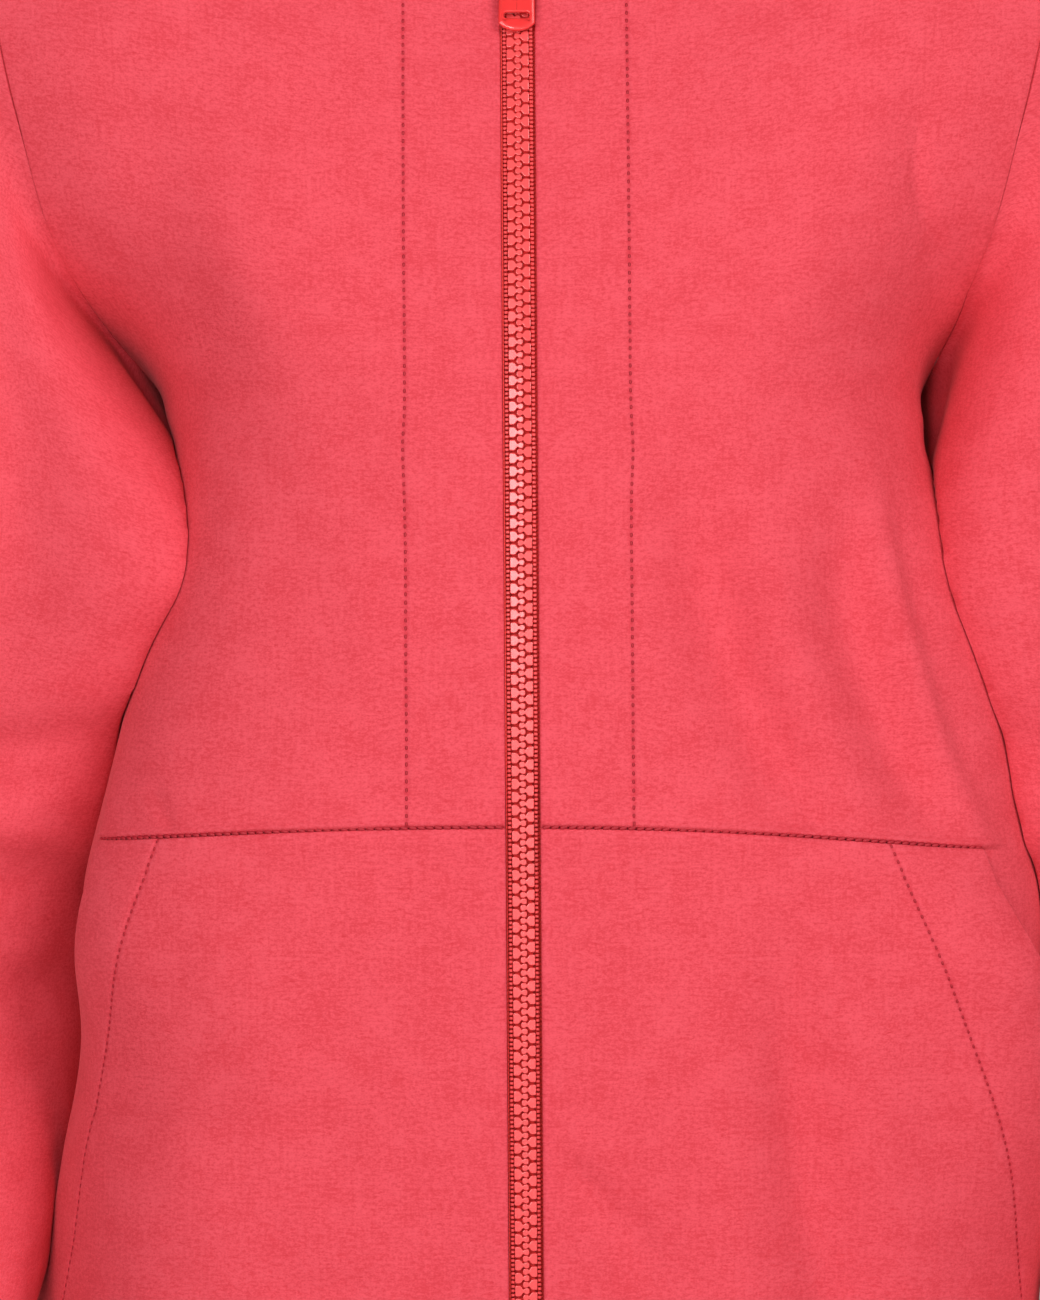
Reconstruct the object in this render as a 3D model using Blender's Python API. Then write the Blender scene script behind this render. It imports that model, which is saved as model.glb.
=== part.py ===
"""A zip-front sweatshirt in plain jersey, filled out as if worn, with the arms hanging at its sides.

Left and right are the wearer's: the right side is at -X, the front faces -Y and +Z is up.
The origin is the middle of the neck, level with the highest points of the shoulders.
All sizes are in metres.
"""

import math

import bmesh
import bpy
from mathutils import Vector

# ---------------------------------------------------------------- driving sizes

CLOTH = 0.0016  # the jersey's thickness
BAND_CLOTH = 0.0022  # the neckband is two layers
TAPE_CLOTH = 0.0010
SEAM_GAP = 0.0003  # between two pieces at a seam
HEM_Z = -0.650  # the garment's length, from the shoulder's highest point to the hem

ZIP_OPENING = 0.0113  # between the two front edges
ZIP_LEAN = 0.0071  # how far the zip drifts to +X for each metre down
ZIP_LEAN_FROM_Z = -0.271
TAPE_WIDTH = 0.0125  # one side, from the teeth's middle line
TAPE_TOP_WIDTH, TAPE_NARROWS = 0.0068, (-0.155, -0.118)  # at its head, and from which z to which
TAPE_INNER = 0.0008  # half of the slit between the two tapes
CHAIN_WIDTH = 0.0093
CHAIN_DEPTH = 0.0030
CHAIN_PROUD = 0.0005  # how far the teeth stand out past the cloth
ZIP_FOOT = 0.0020  # the zip stops this far above the hem
BOX_WIDTH, BOX_HEIGHT, BOX_PROUD = 0.0098, 0.0075, 0.0013
STOP_WIDTH, STOP_HEIGHT = 0.0030, 0.0018

SLIDER_WIDTH, SLIDER_LENGTH, SLIDER_PLATE = 0.0132, 0.0180, 0.0020
SLIDER_FOOT = 0.0008  # its lower end, above the neck seam
POST_WIDTH, POST_LENGTH = 0.0010, 0.0060
PIN_RISE = 0.0040  # the pull tab's pin, above the neck seam
PIN_RADIUS, PIN_PLAY = 0.0006, 0.0003
LUG_WIDTH, LUG_GAP = 0.0012, 0.0003
LUG_REACH, LUG_PROUD = 0.00152, 0.00128  # from the pin, along the band and out of it
SLIDER_BACK, SLIDER_BACK_SHARE = 0.0014, 0.85  # its back plate's thickness, and share of the width
METAL_BEVEL, METAL_OVERLAP, CUT_PAST = 0.0004, 0.0005, 0.001
TAB_WIDTH, TAB_THICK, TAB_DROP = 0.0119, 0.0018, 0.0395
TAB_NECK, TAB_EYE = 0.0056, 0.0016  # the width of its top, and its radius round the pin
TAB_SHOULDER, TAB_BOW = 0.0090, 0.0026
SLOT_WIDTH, SLOT_HEIGHT, SLOT_RISE = 0.0085, 0.0021, 0.0052

BAND_HEIGHT = 0.022
BAND_LEAN = 0.30  # how far the band leans inwards for each metre up
BAND_FOOT = 0.00045  # the band starts this far above the neck seam
TAPE_FACE = -BAND_CLOTH - 2 * SEAM_GAP  # the tape's outer face, behind the cloth's

POCKET_TOP_Z = -0.4095  # at the zip
POCKET_CORNER_ARC = 0.151  # from the zip's middle line, along the cloth
POCKET_MOUTH_SLOPE = 0.41  # outwards for each metre down
POCKET_GAP = 0.0004
POCKET_GAPE = 0.0110  # how far the mouth stands off the front
POCKET_GAPE_SHARE = 0.45  # the share of the pocket's width that stands off, at its mouth
POCKET_GAPE_TOP = (0.004, 0.045)  # it opens between these distances below the top edge
POCKET_GAPE_FOOT = (0.060, 0.160)  # and closes between these heights above the hem
POCKET_SEAM_ALLOWANCE = 0.010  # the pocket ends this far before the side seam
POCKET_DROOP = {"right": 0.0055, "left": 0.0078}  # of the top edge's corner, below its middle
DROOP_REACH = 1.15  # the droop is full this many times the mouth's column from the zip

CAP_SHARE = 0.30  # of the sleeve's length that is above its first ring
UNDERARM_PULL, SHOULDER_PULL, ARRIVE_PULL = 0.30, 0.55, 0.95
CAP_TOP = (0.08, 0.55)  # the shares of the armhole's height over which the sleeve becomes its top

SIDES = {"right": -1, "left": 1}

# ---------------------------------------------------------------- tables

# Half of the body, as strips of cloth that run from its centre edge to its side edge. v counts the strips
# in metres: up the front from the hem, over the shoulder at SHOULDER_V, and down the back. Angles are
# seen from above, in degrees from +X towards +Y, on the body's +X half.
FRONT_UNDERARM_V, NECK_FRONT_V, SHOULDER_V = 0.376, 0.548, 0.660
NECK_BACK_V, BACK_UNDERARM_V, BACK_HEM_V = 0.745, 0.965, 1.341

# The centre edge is the zip, the neckline and then the middle of the back. lead is a strip's direction
# there. near_pull and far_pull square the strip off: how far it keeps its direction at either end.
CENTRE_COLUMNS = ("v", "x", "y", "z", "lead", "near_pull", "far_pull")
CENTRE_ROWS = (
    (0.000, 0, -0.108, -0.650, 0, 0.80, 0.60),
    (0.089, 0, -0.114, -0.561, 0, 0.84, 0.62),
    (0.170, 0, -0.117, -0.480, 0, 0.86, 0.64),
    (0.240, 0, -0.119, -0.410, 0, 0.84, 0.64),
    (0.290, 0, -0.120, -0.360, 0, 0.80, 0.64),
    (0.338, 0, -0.119, -0.312, 0, 0.76, 0.64),
    (0.376, 0, -0.117, -0.274, 0, 0.72, 0.62),
    (0.418, 0, -0.112, -0.236, 0, 0.66, 0.50),
    (0.466, 0, -0.103, -0.192, 0, 0.58, 0.44),
    (0.510, 0, -0.092, -0.152, 0, 0.52, 0.40),
    (0.548, 0, -0.080, -0.118, 0, 0.46, 0.36),
    (0.585, 0.042, -0.068, -0.090, 2, 0.38, 0.34),
    (0.625, 0.068, -0.038, -0.045, 3, 0.34, 0.33),
    (0.660, 0.079, 0.002, -0.012, 2, 0.33, 0.33),
    (0.690, 0.071, 0.036, -0.014, -2, 0.34, 0.33),
    (0.715, 0.044, 0.058, -0.022, 0, 0.40, 0.34),
    (0.745, 0, 0.066, -0.028, 0, 0.46, 0.36),
    (0.800, 0, 0.087, -0.090, 0, 0.52, 0.40),
    (0.855, 0, 0.100, -0.148, 0, 0.56, 0.42),
    (0.910, 0, 0.105, -0.206, 0, 0.60, 0.46),
    (0.965, 0, 0.104, -0.264, 0, 0.64, 0.56),
    (1.003, 0, 0.101, -0.306, 0, 0.64, 0.58),
    (1.051, 0, 0.096, -0.356, 0, 0.66, 0.58),
    (1.101, 0, 0.095, -0.408, 0, 0.70, 0.60),
    (1.171, 0, 0.101, -0.480, 0, 0.72, 0.60),
    (1.252, 0, 0.108, -0.561, 0, 0.72, 0.60),
    (1.341, 0, 0.109, -0.650, 0, 0.70, 0.58),
)

# The side edge is the side seam and the armhole, up the front and down to the underarm at the back. The
# back's side seam is the front's. turn is the direction in which a strip of the front crosses the edge.
SIDE_COLUMNS = ("v", "x_right", "x_left", "y", "z", "turn_right", "turn_left")
SIDE_ROWS = (
    (0.000, 0.180, 0.177, 0.014, -0.650, 68, 90),
    (0.089, 0.166, 0.168, 0.014, -0.561, 72, 96),
    (0.130, 0.153, 0.166, 0.012, -0.520, 84, 101),
    (0.170, 0.137, 0.164, 0.010, -0.480, 100, 106),
    (0.212, 0.132, 0.162, 0.009, -0.438, 112, 110),
    (0.240, 0.127, 0.158, 0.009, -0.410, 113, 110),
    (0.290, 0.114, 0.150, 0.010, -0.360, 114, 110),
    (0.338, 0.103, 0.137, 0.013, -0.312, 114, 108),
    (0.362, 0.105, 0.128, 0.014, -0.286, 108, 104),
    (0.376, 0.116, 0.132, 0.014, -0.272, 98, 98),
    (0.418, 0.148, 0.150, -0.038, -0.226, 62, 62),
    (0.466, 0.165, 0.165, -0.058, -0.174, 42, 42),
    (0.510, 0.177, 0.177, -0.057, -0.126, 32, 32),
    (0.548, 0.186, 0.186, -0.045, -0.090, 24, 24),
    (0.585, 0.193, 0.193, -0.029, -0.066, 16, 16),
    (0.625, 0.198, 0.198, -0.011, -0.052, 8, 8),
    (0.660, 0.201, 0.201, 0.006, -0.047, 2, 2),
    (0.690, 0.200, 0.200, 0.023, -0.053, -5, -5),
    (0.715, 0.197, 0.197, 0.040, -0.067, -12, -12),
    (0.745, 0.193, 0.193, 0.055, -0.093, -20, -20),
    (0.800, 0.185, 0.185, 0.067, -0.135, -30, -30),
    (0.855, 0.172, 0.172, 0.066, -0.180, -40, -40),
    (0.910, 0.153, 0.154, 0.050, -0.228, -58, -58),
    (0.965, 0.116, 0.132, 0.014, -0.272, -82, -82),
)

# The sleeve below the armhole, as rings down the arm. x is measured outwards from the middle of the body.
ARM_COLUMNS = ("down", "x_right", "x_left", "y", "z", "r_out", "r_front", "tilt")
ARM_ROWS = (
    (0.00, 0.1730, 0.2120, 0.018, -0.335, 0.0610, 0.0670, 2),
    (0.16, 0.1870, 0.2200, 0.016, -0.380, 0.0595, 0.0640, 3),
    (0.32, 0.1985, 0.2270, 0.014, -0.425, 0.0580, 0.0610, 5),
    (0.48, 0.2055, 0.2295, 0.009, -0.470, 0.0560, 0.0580, 9),
    (0.65, 0.2110, 0.2290, -0.003, -0.516, 0.0530, 0.0545, 14),
    (0.82, 0.2155, 0.2270, -0.022, -0.562, 0.0490, 0.0500, 18),
    (1.00, 0.2205, 0.2260, -0.044, -0.610, 0.0445, 0.0450, 20),
)

# The largest folds. Each is a soft trough or ridge from one point of the cloth to another, seen from the
# front or the back. height is negative in a trough. bow bends it sideways, as a share of its length.
FOLD_COLUMNS = ("face", "x0", "z0", "x1", "z1", "bow", "half_width", "height")
FOLD_ROWS = (
    ("front", 0.056, -0.290, 0.096, -0.408, 0.06, 0.0120, -0.0042),
    ("front", 0.104, -0.300, 0.138, -0.412, 0.05, 0.0130, -0.0040),
    ("front", 0.115, -0.290, 0.146, -0.408, 0.05, 0.0070, 0.0022),
    ("front", 0.086, -0.440, 0.112, -0.600, 0.04, 0.0150, -0.0062),
    ("front", 0.060, -0.440, 0.078, -0.610, 0.02, 0.0180, 0.0034),
    ("front", 0.010, -0.512, 0.040, -0.552, -0.08, 0.0070, -0.0022),
    ("front", -0.118, -0.140, -0.112, -0.270, 0.00, 0.0220, -0.0030),
    ("front", 0.132, -0.165, 0.170, -0.255, 0.16, 0.0100, -0.0028),
    ("back", -0.060, -0.300, -0.105, -0.430, 0.06, 0.0160, -0.0050),
    ("back", 0.062, -0.290, 0.112, -0.425, -0.06, 0.0150, -0.0052),
    ("back", -0.020, -0.360, 0.030, -0.395, 0.10, 0.0120, -0.0030),
    ("back", 0.030, -0.440, 0.012, -0.600, 0.04, 0.0180, -0.0040),
    ("back", -0.095, -0.170, -0.125, -0.290, -0.05, 0.0170, -0.0040),
    ("back", 0.100, -0.165, 0.132, -0.285, 0.05, 0.0160, -0.0040),
)

# Folds round a sleeve, at the elbow and above the hem. down and round are shares of the sleeve's length
# and girth: round is 0 next to the body, 0.25 at the front and 0.5 outside.
SLEEVE_FOLD_COLUMNS = ("down", "round", "rise", "half_down", "half_round", "height")
SLEEVE_FOLD_ROWS = (
    (0.42, 0.20, 0.10, 0.030, 0.16, -0.0050),
    (0.52, 0.24, -0.08, 0.026, 0.17, -0.0045),
    (0.62, 0.22, 0.07, 0.026, 0.15, -0.0038),
    (0.36, 0.72, -0.08, 0.032, 0.16, -0.0040),
    (0.80, 0.30, 0.09, 0.026, 0.18, -0.0034),
    (0.88, 0.66, -0.06, 0.024, 0.18, -0.0032),
)

FOLD_STARTS, FOLD_ENDS = (-0.12, 0.35), (0.75, 1.12)  # the shares of a fold's length where it fades
FOLD_FACING = (0.25, 0.75)  # a fold fades as the cloth turns to the side

# How many strips and columns each piece is cut into.
MOUTH_COLUMN, FRONT_COLUMNS, BACK_COLUMNS, SLEEVE_STEPS, ZIP_STEPS = 9, 12, 11, 21, 26
POCKET_STEPS, WAIST_STEPS, CHEST_STEPS, YOKE_STEPS = 12, 6, 8, 6
STEP_V, STEP_U = 0.0015, 0.01  # the steps over which a direction is measured

# The slider's right half, from the foot up: each pair is a share of its half width and one of its length.
SLIDER_OUTLINE = ((0.74, 0.0), (1.0, 0.5), (0.92, 0.861), (0.55, 1.0))
TAB_FOOT_ASIDE = (-1, -0.86, -0.62, -0.32, 0, 0.32, 0.62, 0.86, 1)
TAB_FOOT_POWER = 2.4  # how square the pull tab's bowed foot is
TAB_NECK_LENGTH, TAB_SHOULDER_ASIDE = 0.0035, 0.93

MATERIALS = {
    "jersey": ((0.80, 0.075, 0.098, 1), 0.85, 0.0),
    "zip_tape": ((0.72, 0.055, 0.060, 1), 0.80, 0.0),
    "zip_plastic": ((0.83, 0.085, 0.090, 1), 0.35, 0.0),
    "zip_metal": ((0.74, 0.035, 0.035, 1), 0.30, 0.2),
}

# ---------------------------------------------------------------- curves


class Track:
    """A smooth curve through a table's rows. It may have a corner at each v in corners."""

    def __init__(self, rows, corners=()):
        self.v = [row[0] for row in rows]
        self.values = [row[1] for row in rows]
        self.corners = corners

    def slope(self, i, left):
        """The curve's slope at row i, for the stretch on its left or on its right."""
        a, b = i - 1, i + 1
        if a < 0 or (not left and self.v[i] in self.corners):
            a = i
        if b >= len(self.v) or (left and self.v[i] in self.corners):
            b = i
        return (self.values[b] - self.values[a]) / (self.v[b] - self.v[a])

    def at(self, v):
        i = 0
        while i < len(self.v) - 2 and v > self.v[i + 1]:
            i += 1
        span = self.v[i + 1] - self.v[i]
        t = (v - self.v[i]) / span
        start, end = self.values[i], self.values[i + 1]
        m0, m1 = self.slope(i, False) * span, self.slope(i + 1, True) * span
        t2, t3 = t * t, t * t * t
        return (
            (2 * t3 - 3 * t2 + 1) * start + (t3 - 2 * t2 + t) * m0
            + (3 * t2 - 2 * t3) * end + (t3 - t2) * m1
        )


def tracks(columns, rows, corners):
    """One Track for each column but the first, by name. corners maps a column to its corners."""
    return {
        name: Track([(row[0], row[k]) for row in rows], corners.get(name, ()))
        for k, name in enumerate(columns)
        if k > 0
    }


# Where the centre edge and the side edge turn a corner, and whether the corner is in the stretch below it.
NECK_ENDS = ((NECK_FRONT_V, True), (NECK_BACK_V, False))
ARMHOLE_ENDS = ((FRONT_UNDERARM_V, True), (BACK_UNDERARM_V, False))
CENTRE = tracks(
    CENTRE_COLUMNS, CENTRE_ROWS, {name: (NECK_FRONT_V, NECK_BACK_V) for name in ("x", "y", "z")}
)
SIDE = tracks(
    SIDE_COLUMNS, SIDE_ROWS,
    {name: (FRONT_UNDERARM_V, BACK_UNDERARM_V) for name in ("x_right", "x_left", "y", "z")},
)
ARM = tracks(ARM_COLUMNS, ARM_ROWS, {})


def smooth(x, low, high):
    """0 below low, 1 above high, and smooth between."""
    t = min(1.0, max(0.0, (x - low) / (high - low)))
    return t * t * (3 - 2 * t)


def spread(low, high, steps):
    return [low + (high - low) * i / steps for i in range(steps + 1)]


# ---------------------------------------------------------------- the body's form


def lean_at(z):
    return ZIP_LEAN * (ZIP_LEAN_FROM_Z - z)


def handles(v, side):
    """The four points that steer the strip at v, from its centre edge to its side edge."""
    centre = {name: track.at(v) for name, track in CENTRE.items()}
    down_back = v > BACK_UNDERARM_V
    rim = {name: track.at(BACK_HEM_V - v if down_back else v) for name, track in SIDE.items()}
    opening = ZIP_OPENING / 2 if v < SHOULDER_V else 0.0
    lean = lean_at(centre["z"]) * SIDES[side] if v <= NECK_FRONT_V else 0.0
    start = Vector((max(centre["x"], opening) + lean, centre["y"], centre["z"]))
    end = Vector((rim["x_" + side], rim["y"], rim["z"]))
    lead, turn = math.radians(centre["lead"]), math.radians(rim["turn_" + side] - 180 * down_back)
    across, deep = end.x - start.x, abs(end.y - start.y)
    reach = abs(math.sin(turn)) * deep + abs(math.cos(turn)) * across
    second = start + Vector((math.cos(lead), math.sin(lead), 0)) * centre["near_pull"] * across
    third = end - Vector((math.cos(turn), math.sin(turn), 0)) * centre["far_pull"] * reach
    drop = (end.z - start.z) * (1 - min(1.0, deep / across)) / 3
    second.z += drop
    third.z -= drop
    return start, second, third, end


def body_form(v, u, side):
    """A point of the bare form, before its folds."""
    a, b, c, d = handles(v, side)
    s = 1 - u
    p = a * s**3 + b * (3 * s * s * u) + c * (3 * s * u * u) + d * u**3
    p.x *= SIDES[side]
    return p


def fold_height(x, z, face):
    """How far the folds lift the cloth at a point seen from the front or the back."""
    total = 0.0
    for row in FOLD_ROWS:
        fold = dict(zip(FOLD_COLUMNS, row))
        if fold["face"] != face:
            continue
        ax, az = fold["x1"] - fold["x0"], fold["z1"] - fold["z0"]
        length = math.hypot(ax, az)
        along = ((x - fold["x0"]) * ax + (z - fold["z0"]) * az) / length**2
        aside = ((x - fold["x0"]) * az - (z - fold["z0"]) * ax) / length
        aside -= fold["bow"] * length * 4 * along * (1 - along)
        ends = smooth(along, *FOLD_STARTS) * (1 - smooth(along, *FOLD_ENDS))
        total += fold["height"] * ends * math.exp(-((aside / fold["half_width"]) ** 2))
    return total


def around(v, corners):
    """Two heights either side of v that don't reach past a corner.

    Each corner is its v, and whether it belongs to the stretch below it.
    """
    low, high = max(0.0, v - STEP_V), min(BACK_HEM_V, v + STEP_V)
    for corner, in_lower in corners:
        below = v <= corner if in_lower else v < corner
        if below:
            high = min(high, corner)
        else:
            low = max(low, corner)
    return low, high


def body_point(v, u, side):
    """A point of the cloth's outer face with its outward direction, folds included."""
    point = body_form(v, u, side)
    low_v, high_v = around(v, ARMHOLE_ENDS if u > 0.5 else NECK_ENDS)
    up = body_form(high_v, u, side) - body_form(low_v, u, side)
    across = body_form(v, min(1.0, u + STEP_U), side) - body_form(v, max(0.0, u - STEP_U), side)
    out = across.cross(up) * SIDES[side]
    if u == 0 and v >= NECK_BACK_V:
        out.x = 0
    out.normalize()
    face = "front" if v < SHOULDER_V else "back"
    lift = fold_height(point.x, point.z, face) * smooth(abs(out.y), *FOLD_FACING)
    return point + out * lift, out


def arc_table(v, side, steps=60):
    """The distance along the strip at v from the zip's middle line, for each of steps + 1 shares u."""
    lengths, before = [ZIP_OPENING / 2], body_form(v, 0, side)
    for u in spread(0, 1, steps)[1:]:
        point = body_form(v, u, side)
        lengths.append(lengths[-1] + (point - before).length)
        before = point
    return lengths


def share_at(arc, lengths):
    """The share u at which a strip has run that far."""
    steps = len(lengths) - 1
    for i in range(steps):
        if arc <= lengths[i + 1]:
            return (i + max(0.0, (arc - lengths[i]) / (lengths[i + 1] - lengths[i]))) / steps
    return 1.0


# ---------------------------------------------------------------- sheets of cloth


class Sheet:
    """One layer of cloth: points of its outer face with their outward directions, and faces of them."""

    def __init__(self):
        self.points, self.outs, self.faces, self.places = [], [], [], {}

    def place(self, point, out):
        key = tuple(round(c, 6) for c in point)
        if key not in self.places:
            self.places[key] = len(self.points)
            self.points.append(point)
            self.outs.append(out)
        return self.places[key]

    def add_grid(self, rows):
        """rows of (point, out) pairs, each row as long as the next."""
        numbers = [[self.place(*pair) for pair in row] for row in rows]
        for low, high in zip(numbers, numbers[1:]):
            for i in range(len(low) - 1):
                a, b, c, d = low[i], low[i + 1], high[i + 1], high[i]
                crossed = (self.points[c] - self.points[a]).cross(self.points[d] - self.points[b])
                if crossed.dot(self.outs[a] + self.outs[c]) < 0:
                    b, d = d, b
                self.faces += [[a, b, c], [a, c, d]]

    def rim(self):
        """The edges of one face only, each in its face's order."""
        edges = {}
        for face in self.faces:
            for a, b in zip(face, face[1:] + face[:1]):
                edges[a, b] = True
        return [(a, b) for a, b in edges if (b, a) not in edges]

    def wall(self, name, thickness, material):
        """The layer as a closed solid, as thick as the cloth, which grows inwards."""
        count = len(self.points)
        inner = [p - out * thickness for p, out in zip(self.points, self.outs)]
        faces = [list(face) for face in self.faces]
        faces += [[n + count for n in reversed(face)] for face in self.faces]
        for a, b in self.rim():
            faces += [[b, a, a + count], [b, a + count, b + count]]
        return solid(name, self.points + inner, faces, material)


def solid(name, points, faces, material):
    mesh = bpy.data.meshes.new(name)
    mesh.from_pydata([tuple(p) for p in points], [], faces)
    mesh.shade_smooth()
    mesh.set_sharp_from_angle(angle=math.radians(50))
    mesh.materials.append(MADE[material])
    made = bpy.data.objects.new(name, mesh)
    bpy.context.scene.collection.objects.link(made)
    return made


def make_materials():
    made = {}
    for name, (colour, roughness, metallic) in MATERIALS.items():
        material = bpy.data.materials.new(name)
        material.use_nodes = True
        shader = material.node_tree.nodes["Principled BSDF"]
        shader.inputs["Base Color"].default_value = colour
        shader.inputs["Roughness"].default_value = roughness
        shader.inputs["Metallic"].default_value = metallic
        made[name] = material
    return made


# ---------------------------------------------------------------- body panels


POCKET_TOP_V = POCKET_TOP_Z - HEM_Z
FRONT_V = (
    spread(0, POCKET_TOP_V, POCKET_STEPS)
    + spread(POCKET_TOP_V, FRONT_UNDERARM_V, WAIST_STEPS)[1:]
    + spread(FRONT_UNDERARM_V, NECK_FRONT_V, CHEST_STEPS)[1:]
    + spread(NECK_FRONT_V, SHOULDER_V, YOKE_STEPS)[1:]
)
BACK_V = (
    spread(SHOULDER_V, NECK_BACK_V, YOKE_STEPS)
    + spread(NECK_BACK_V, BACK_UNDERARM_V, CHEST_STEPS)[1:]
    + [BACK_HEM_V - v for v in reversed(FRONT_V) if v < FRONT_UNDERARM_V]
)


def mouth_share(v, side):
    """Where the column with the pocket's outer edge is: down its slanted mouth, then near the side seam."""
    lengths = arc_table(v, side)
    slanted = POCKET_CORNER_ARC + POCKET_MOUTH_SLOPE * max(0.0, POCKET_TOP_V - v)
    level = MOUTH_COLUMN / FRONT_COLUMNS
    held = min(share_at(slanted, lengths), share_at(lengths[-1] - POCKET_SEAM_ALLOWANCE, lengths))
    return held + (level - held) * smooth(v, POCKET_TOP_V, FRONT_UNDERARM_V)


def front_share(v, column, side):
    """The share u at which a column of the front crosses the strip at v."""
    mouth = mouth_share(v, side)
    if column <= MOUTH_COLUMN:
        return mouth * column / MOUTH_COLUMN
    return mouth + (1 - mouth) * (column - MOUTH_COLUMN) / (FRONT_COLUMNS - MOUTH_COLUMN)


def front_droop(v, column, side):
    """How far a column sinks below its strip, so that the pocket's top edge droops towards its corner."""
    if column <= MOUTH_COLUMN:
        across = smooth(column, 0, MOUTH_COLUMN * DROOP_REACH)
    else:
        across = 1 - smooth(column, MOUTH_COLUMN, FRONT_COLUMNS)
    along = min(v / POCKET_TOP_V, 1 - smooth(v, POCKET_TOP_V, FRONT_UNDERARM_V))
    return POCKET_DROOP[side] * across * along


def front_grid(side):
    rows = []
    for v in FRONT_V:
        row = []
        for column in range(FRONT_COLUMNS + 1):
            sunk = v - front_droop(v, column, side)
            row.append(body_point(sunk, front_share(sunk, column, side), side))
        rows.append(row)
    return rows


def back_grid(side):
    return [[body_point(v, u, side) for u in spread(0, 1, BACK_COLUMNS)] for v in BACK_V]


def side_edge_way(v, side):
    """The direction of a panel's side edge at v. At the underarm it is the side seam's."""
    low, high = around(v, ARMHOLE_ENDS)
    return body_form(high, 1.0, side) - body_form(low, 1.0, side)


def parted(pair, beside, way):
    """A point held half a seam gap back from the seam it lies on. way is the seam's direction."""
    point, out = pair
    inwards = way.cross(out).normalized()
    if inwards.dot(beside[0] - point) < 0:
        inwards.negate()
    return point + inwards * SEAM_GAP / 2, out


def part_edges(vs, rows, side, shoulder, beside):
    """Holds a panel back from its side edge and its shoulder seam. shoulder and beside number its rows."""
    for v, row in zip(vs, rows):
        row[-1] = parted(row[-1], row[-2], side_edge_way(v, side))
    seam = rows[shoulder]
    ways = [b[0] - a[0] for a, b in zip(seam, seam[1:])]
    rows[shoulder] = [
        parted(pair, near, way) for pair, near, way in zip(seam, rows[beside], ways + ways[-1:])
    ]
    return rows


def make_front(side):
    front = Sheet()
    front.add_grid(part_edges(FRONT_V, front_grid(side), side, -1, -2))
    front.wall("front_" + side, CLOTH, "jersey")


def make_back():
    back = Sheet()
    for side in SIDES:
        back.add_grid(part_edges(BACK_V, back_grid(side), side, 0, 1))
    back.wall("back", CLOTH, "jersey")


# ---------------------------------------------------------------- sleeves


def ring_point(down, angle, side):
    """A point of the sleeve below the armhole. angle is 0 next to the body and a quarter turn in front."""
    row = {name: track.at(down) for name, track in ARM.items()}
    tilt = math.radians(row["tilt"])
    out = -math.cos(angle) * row["r_out"]
    front = -math.sin(angle) * row["r_front"]
    x = row["x_" + side] + out
    y = row["y"] + front * math.cos(tilt)
    return Vector((x * SIDES[side], y, row["z"] + front * math.sin(tilt)))


def armhole_start(v, side, angle):
    """The armhole's point at v, the direction in which the sleeve leaves it, and the body's outward one.

    Over the shoulder the sleeve runs on from the body's cloth. At the underarm it falls to the arm.
    """
    point, out = body_point(v, 1.0, side)
    low, high = max(FRONT_UNDERARM_V, v - STEP_V), min(BACK_UNDERARM_V, v + STEP_V)
    along = body_form(high, 1.0, side) - body_form(low, 1.0, side)
    onward = along.cross(out).normalized()
    if onward.x * SIDES[side] < 0:
        onward.negate()
    fall = (ring_point(0, angle, side) - point).normalized()
    return point, fall.lerp(onward, top_share(angle)).normalized(), out


def top_share(angle):
    """0 at the underarm and 1 over the shoulder."""
    return smooth((1 - math.cos(angle)) / 2, *CAP_TOP)


def sleeve_point(down, start, angle, side):
    """A point of the sleeve, at a share of its length, on the line that starts at an armhole point."""
    point, leave, _ = start
    if down >= CAP_SHARE:
        return ring_point((down - CAP_SHARE) / (1 - CAP_SHARE), angle, side)
    t = down / CAP_SHARE
    end = ring_point(0, angle, side)
    arrive = (ring_point(0.05, angle, side) - end).normalized()
    gap = (end - point).length
    pull = UNDERARM_PULL + (SHOULDER_PULL - UNDERARM_PULL) * top_share(angle)
    t2, t3 = t * t, t * t * t
    return (
        (2 * t3 - 3 * t2 + 1) * point
        + (t3 - 2 * t2 + t) * gap * pull * leave
        + (3 * t2 - 2 * t3) * end
        + (t3 - t2) * gap * ARRIVE_PULL * arrive
    )


def sleeve_lift(down, turn):
    """How far the sleeve's folds lift it. turn is the share of its girth, from the body round the front."""
    total = 0.0
    for row in SLEEVE_FOLD_ROWS:
        fold = dict(zip(SLEEVE_FOLD_COLUMNS, row))
        round_off = (turn - fold["round"] + 0.5) % 1.0 - 0.5
        down_off = down - fold["down"] - fold["rise"] * round_off
        spread_out = (down_off / fold["half_down"]) ** 2 + (round_off / fold["half_round"]) ** 2
        total += fold["height"] * math.exp(-spread_out)
    return total


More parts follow.
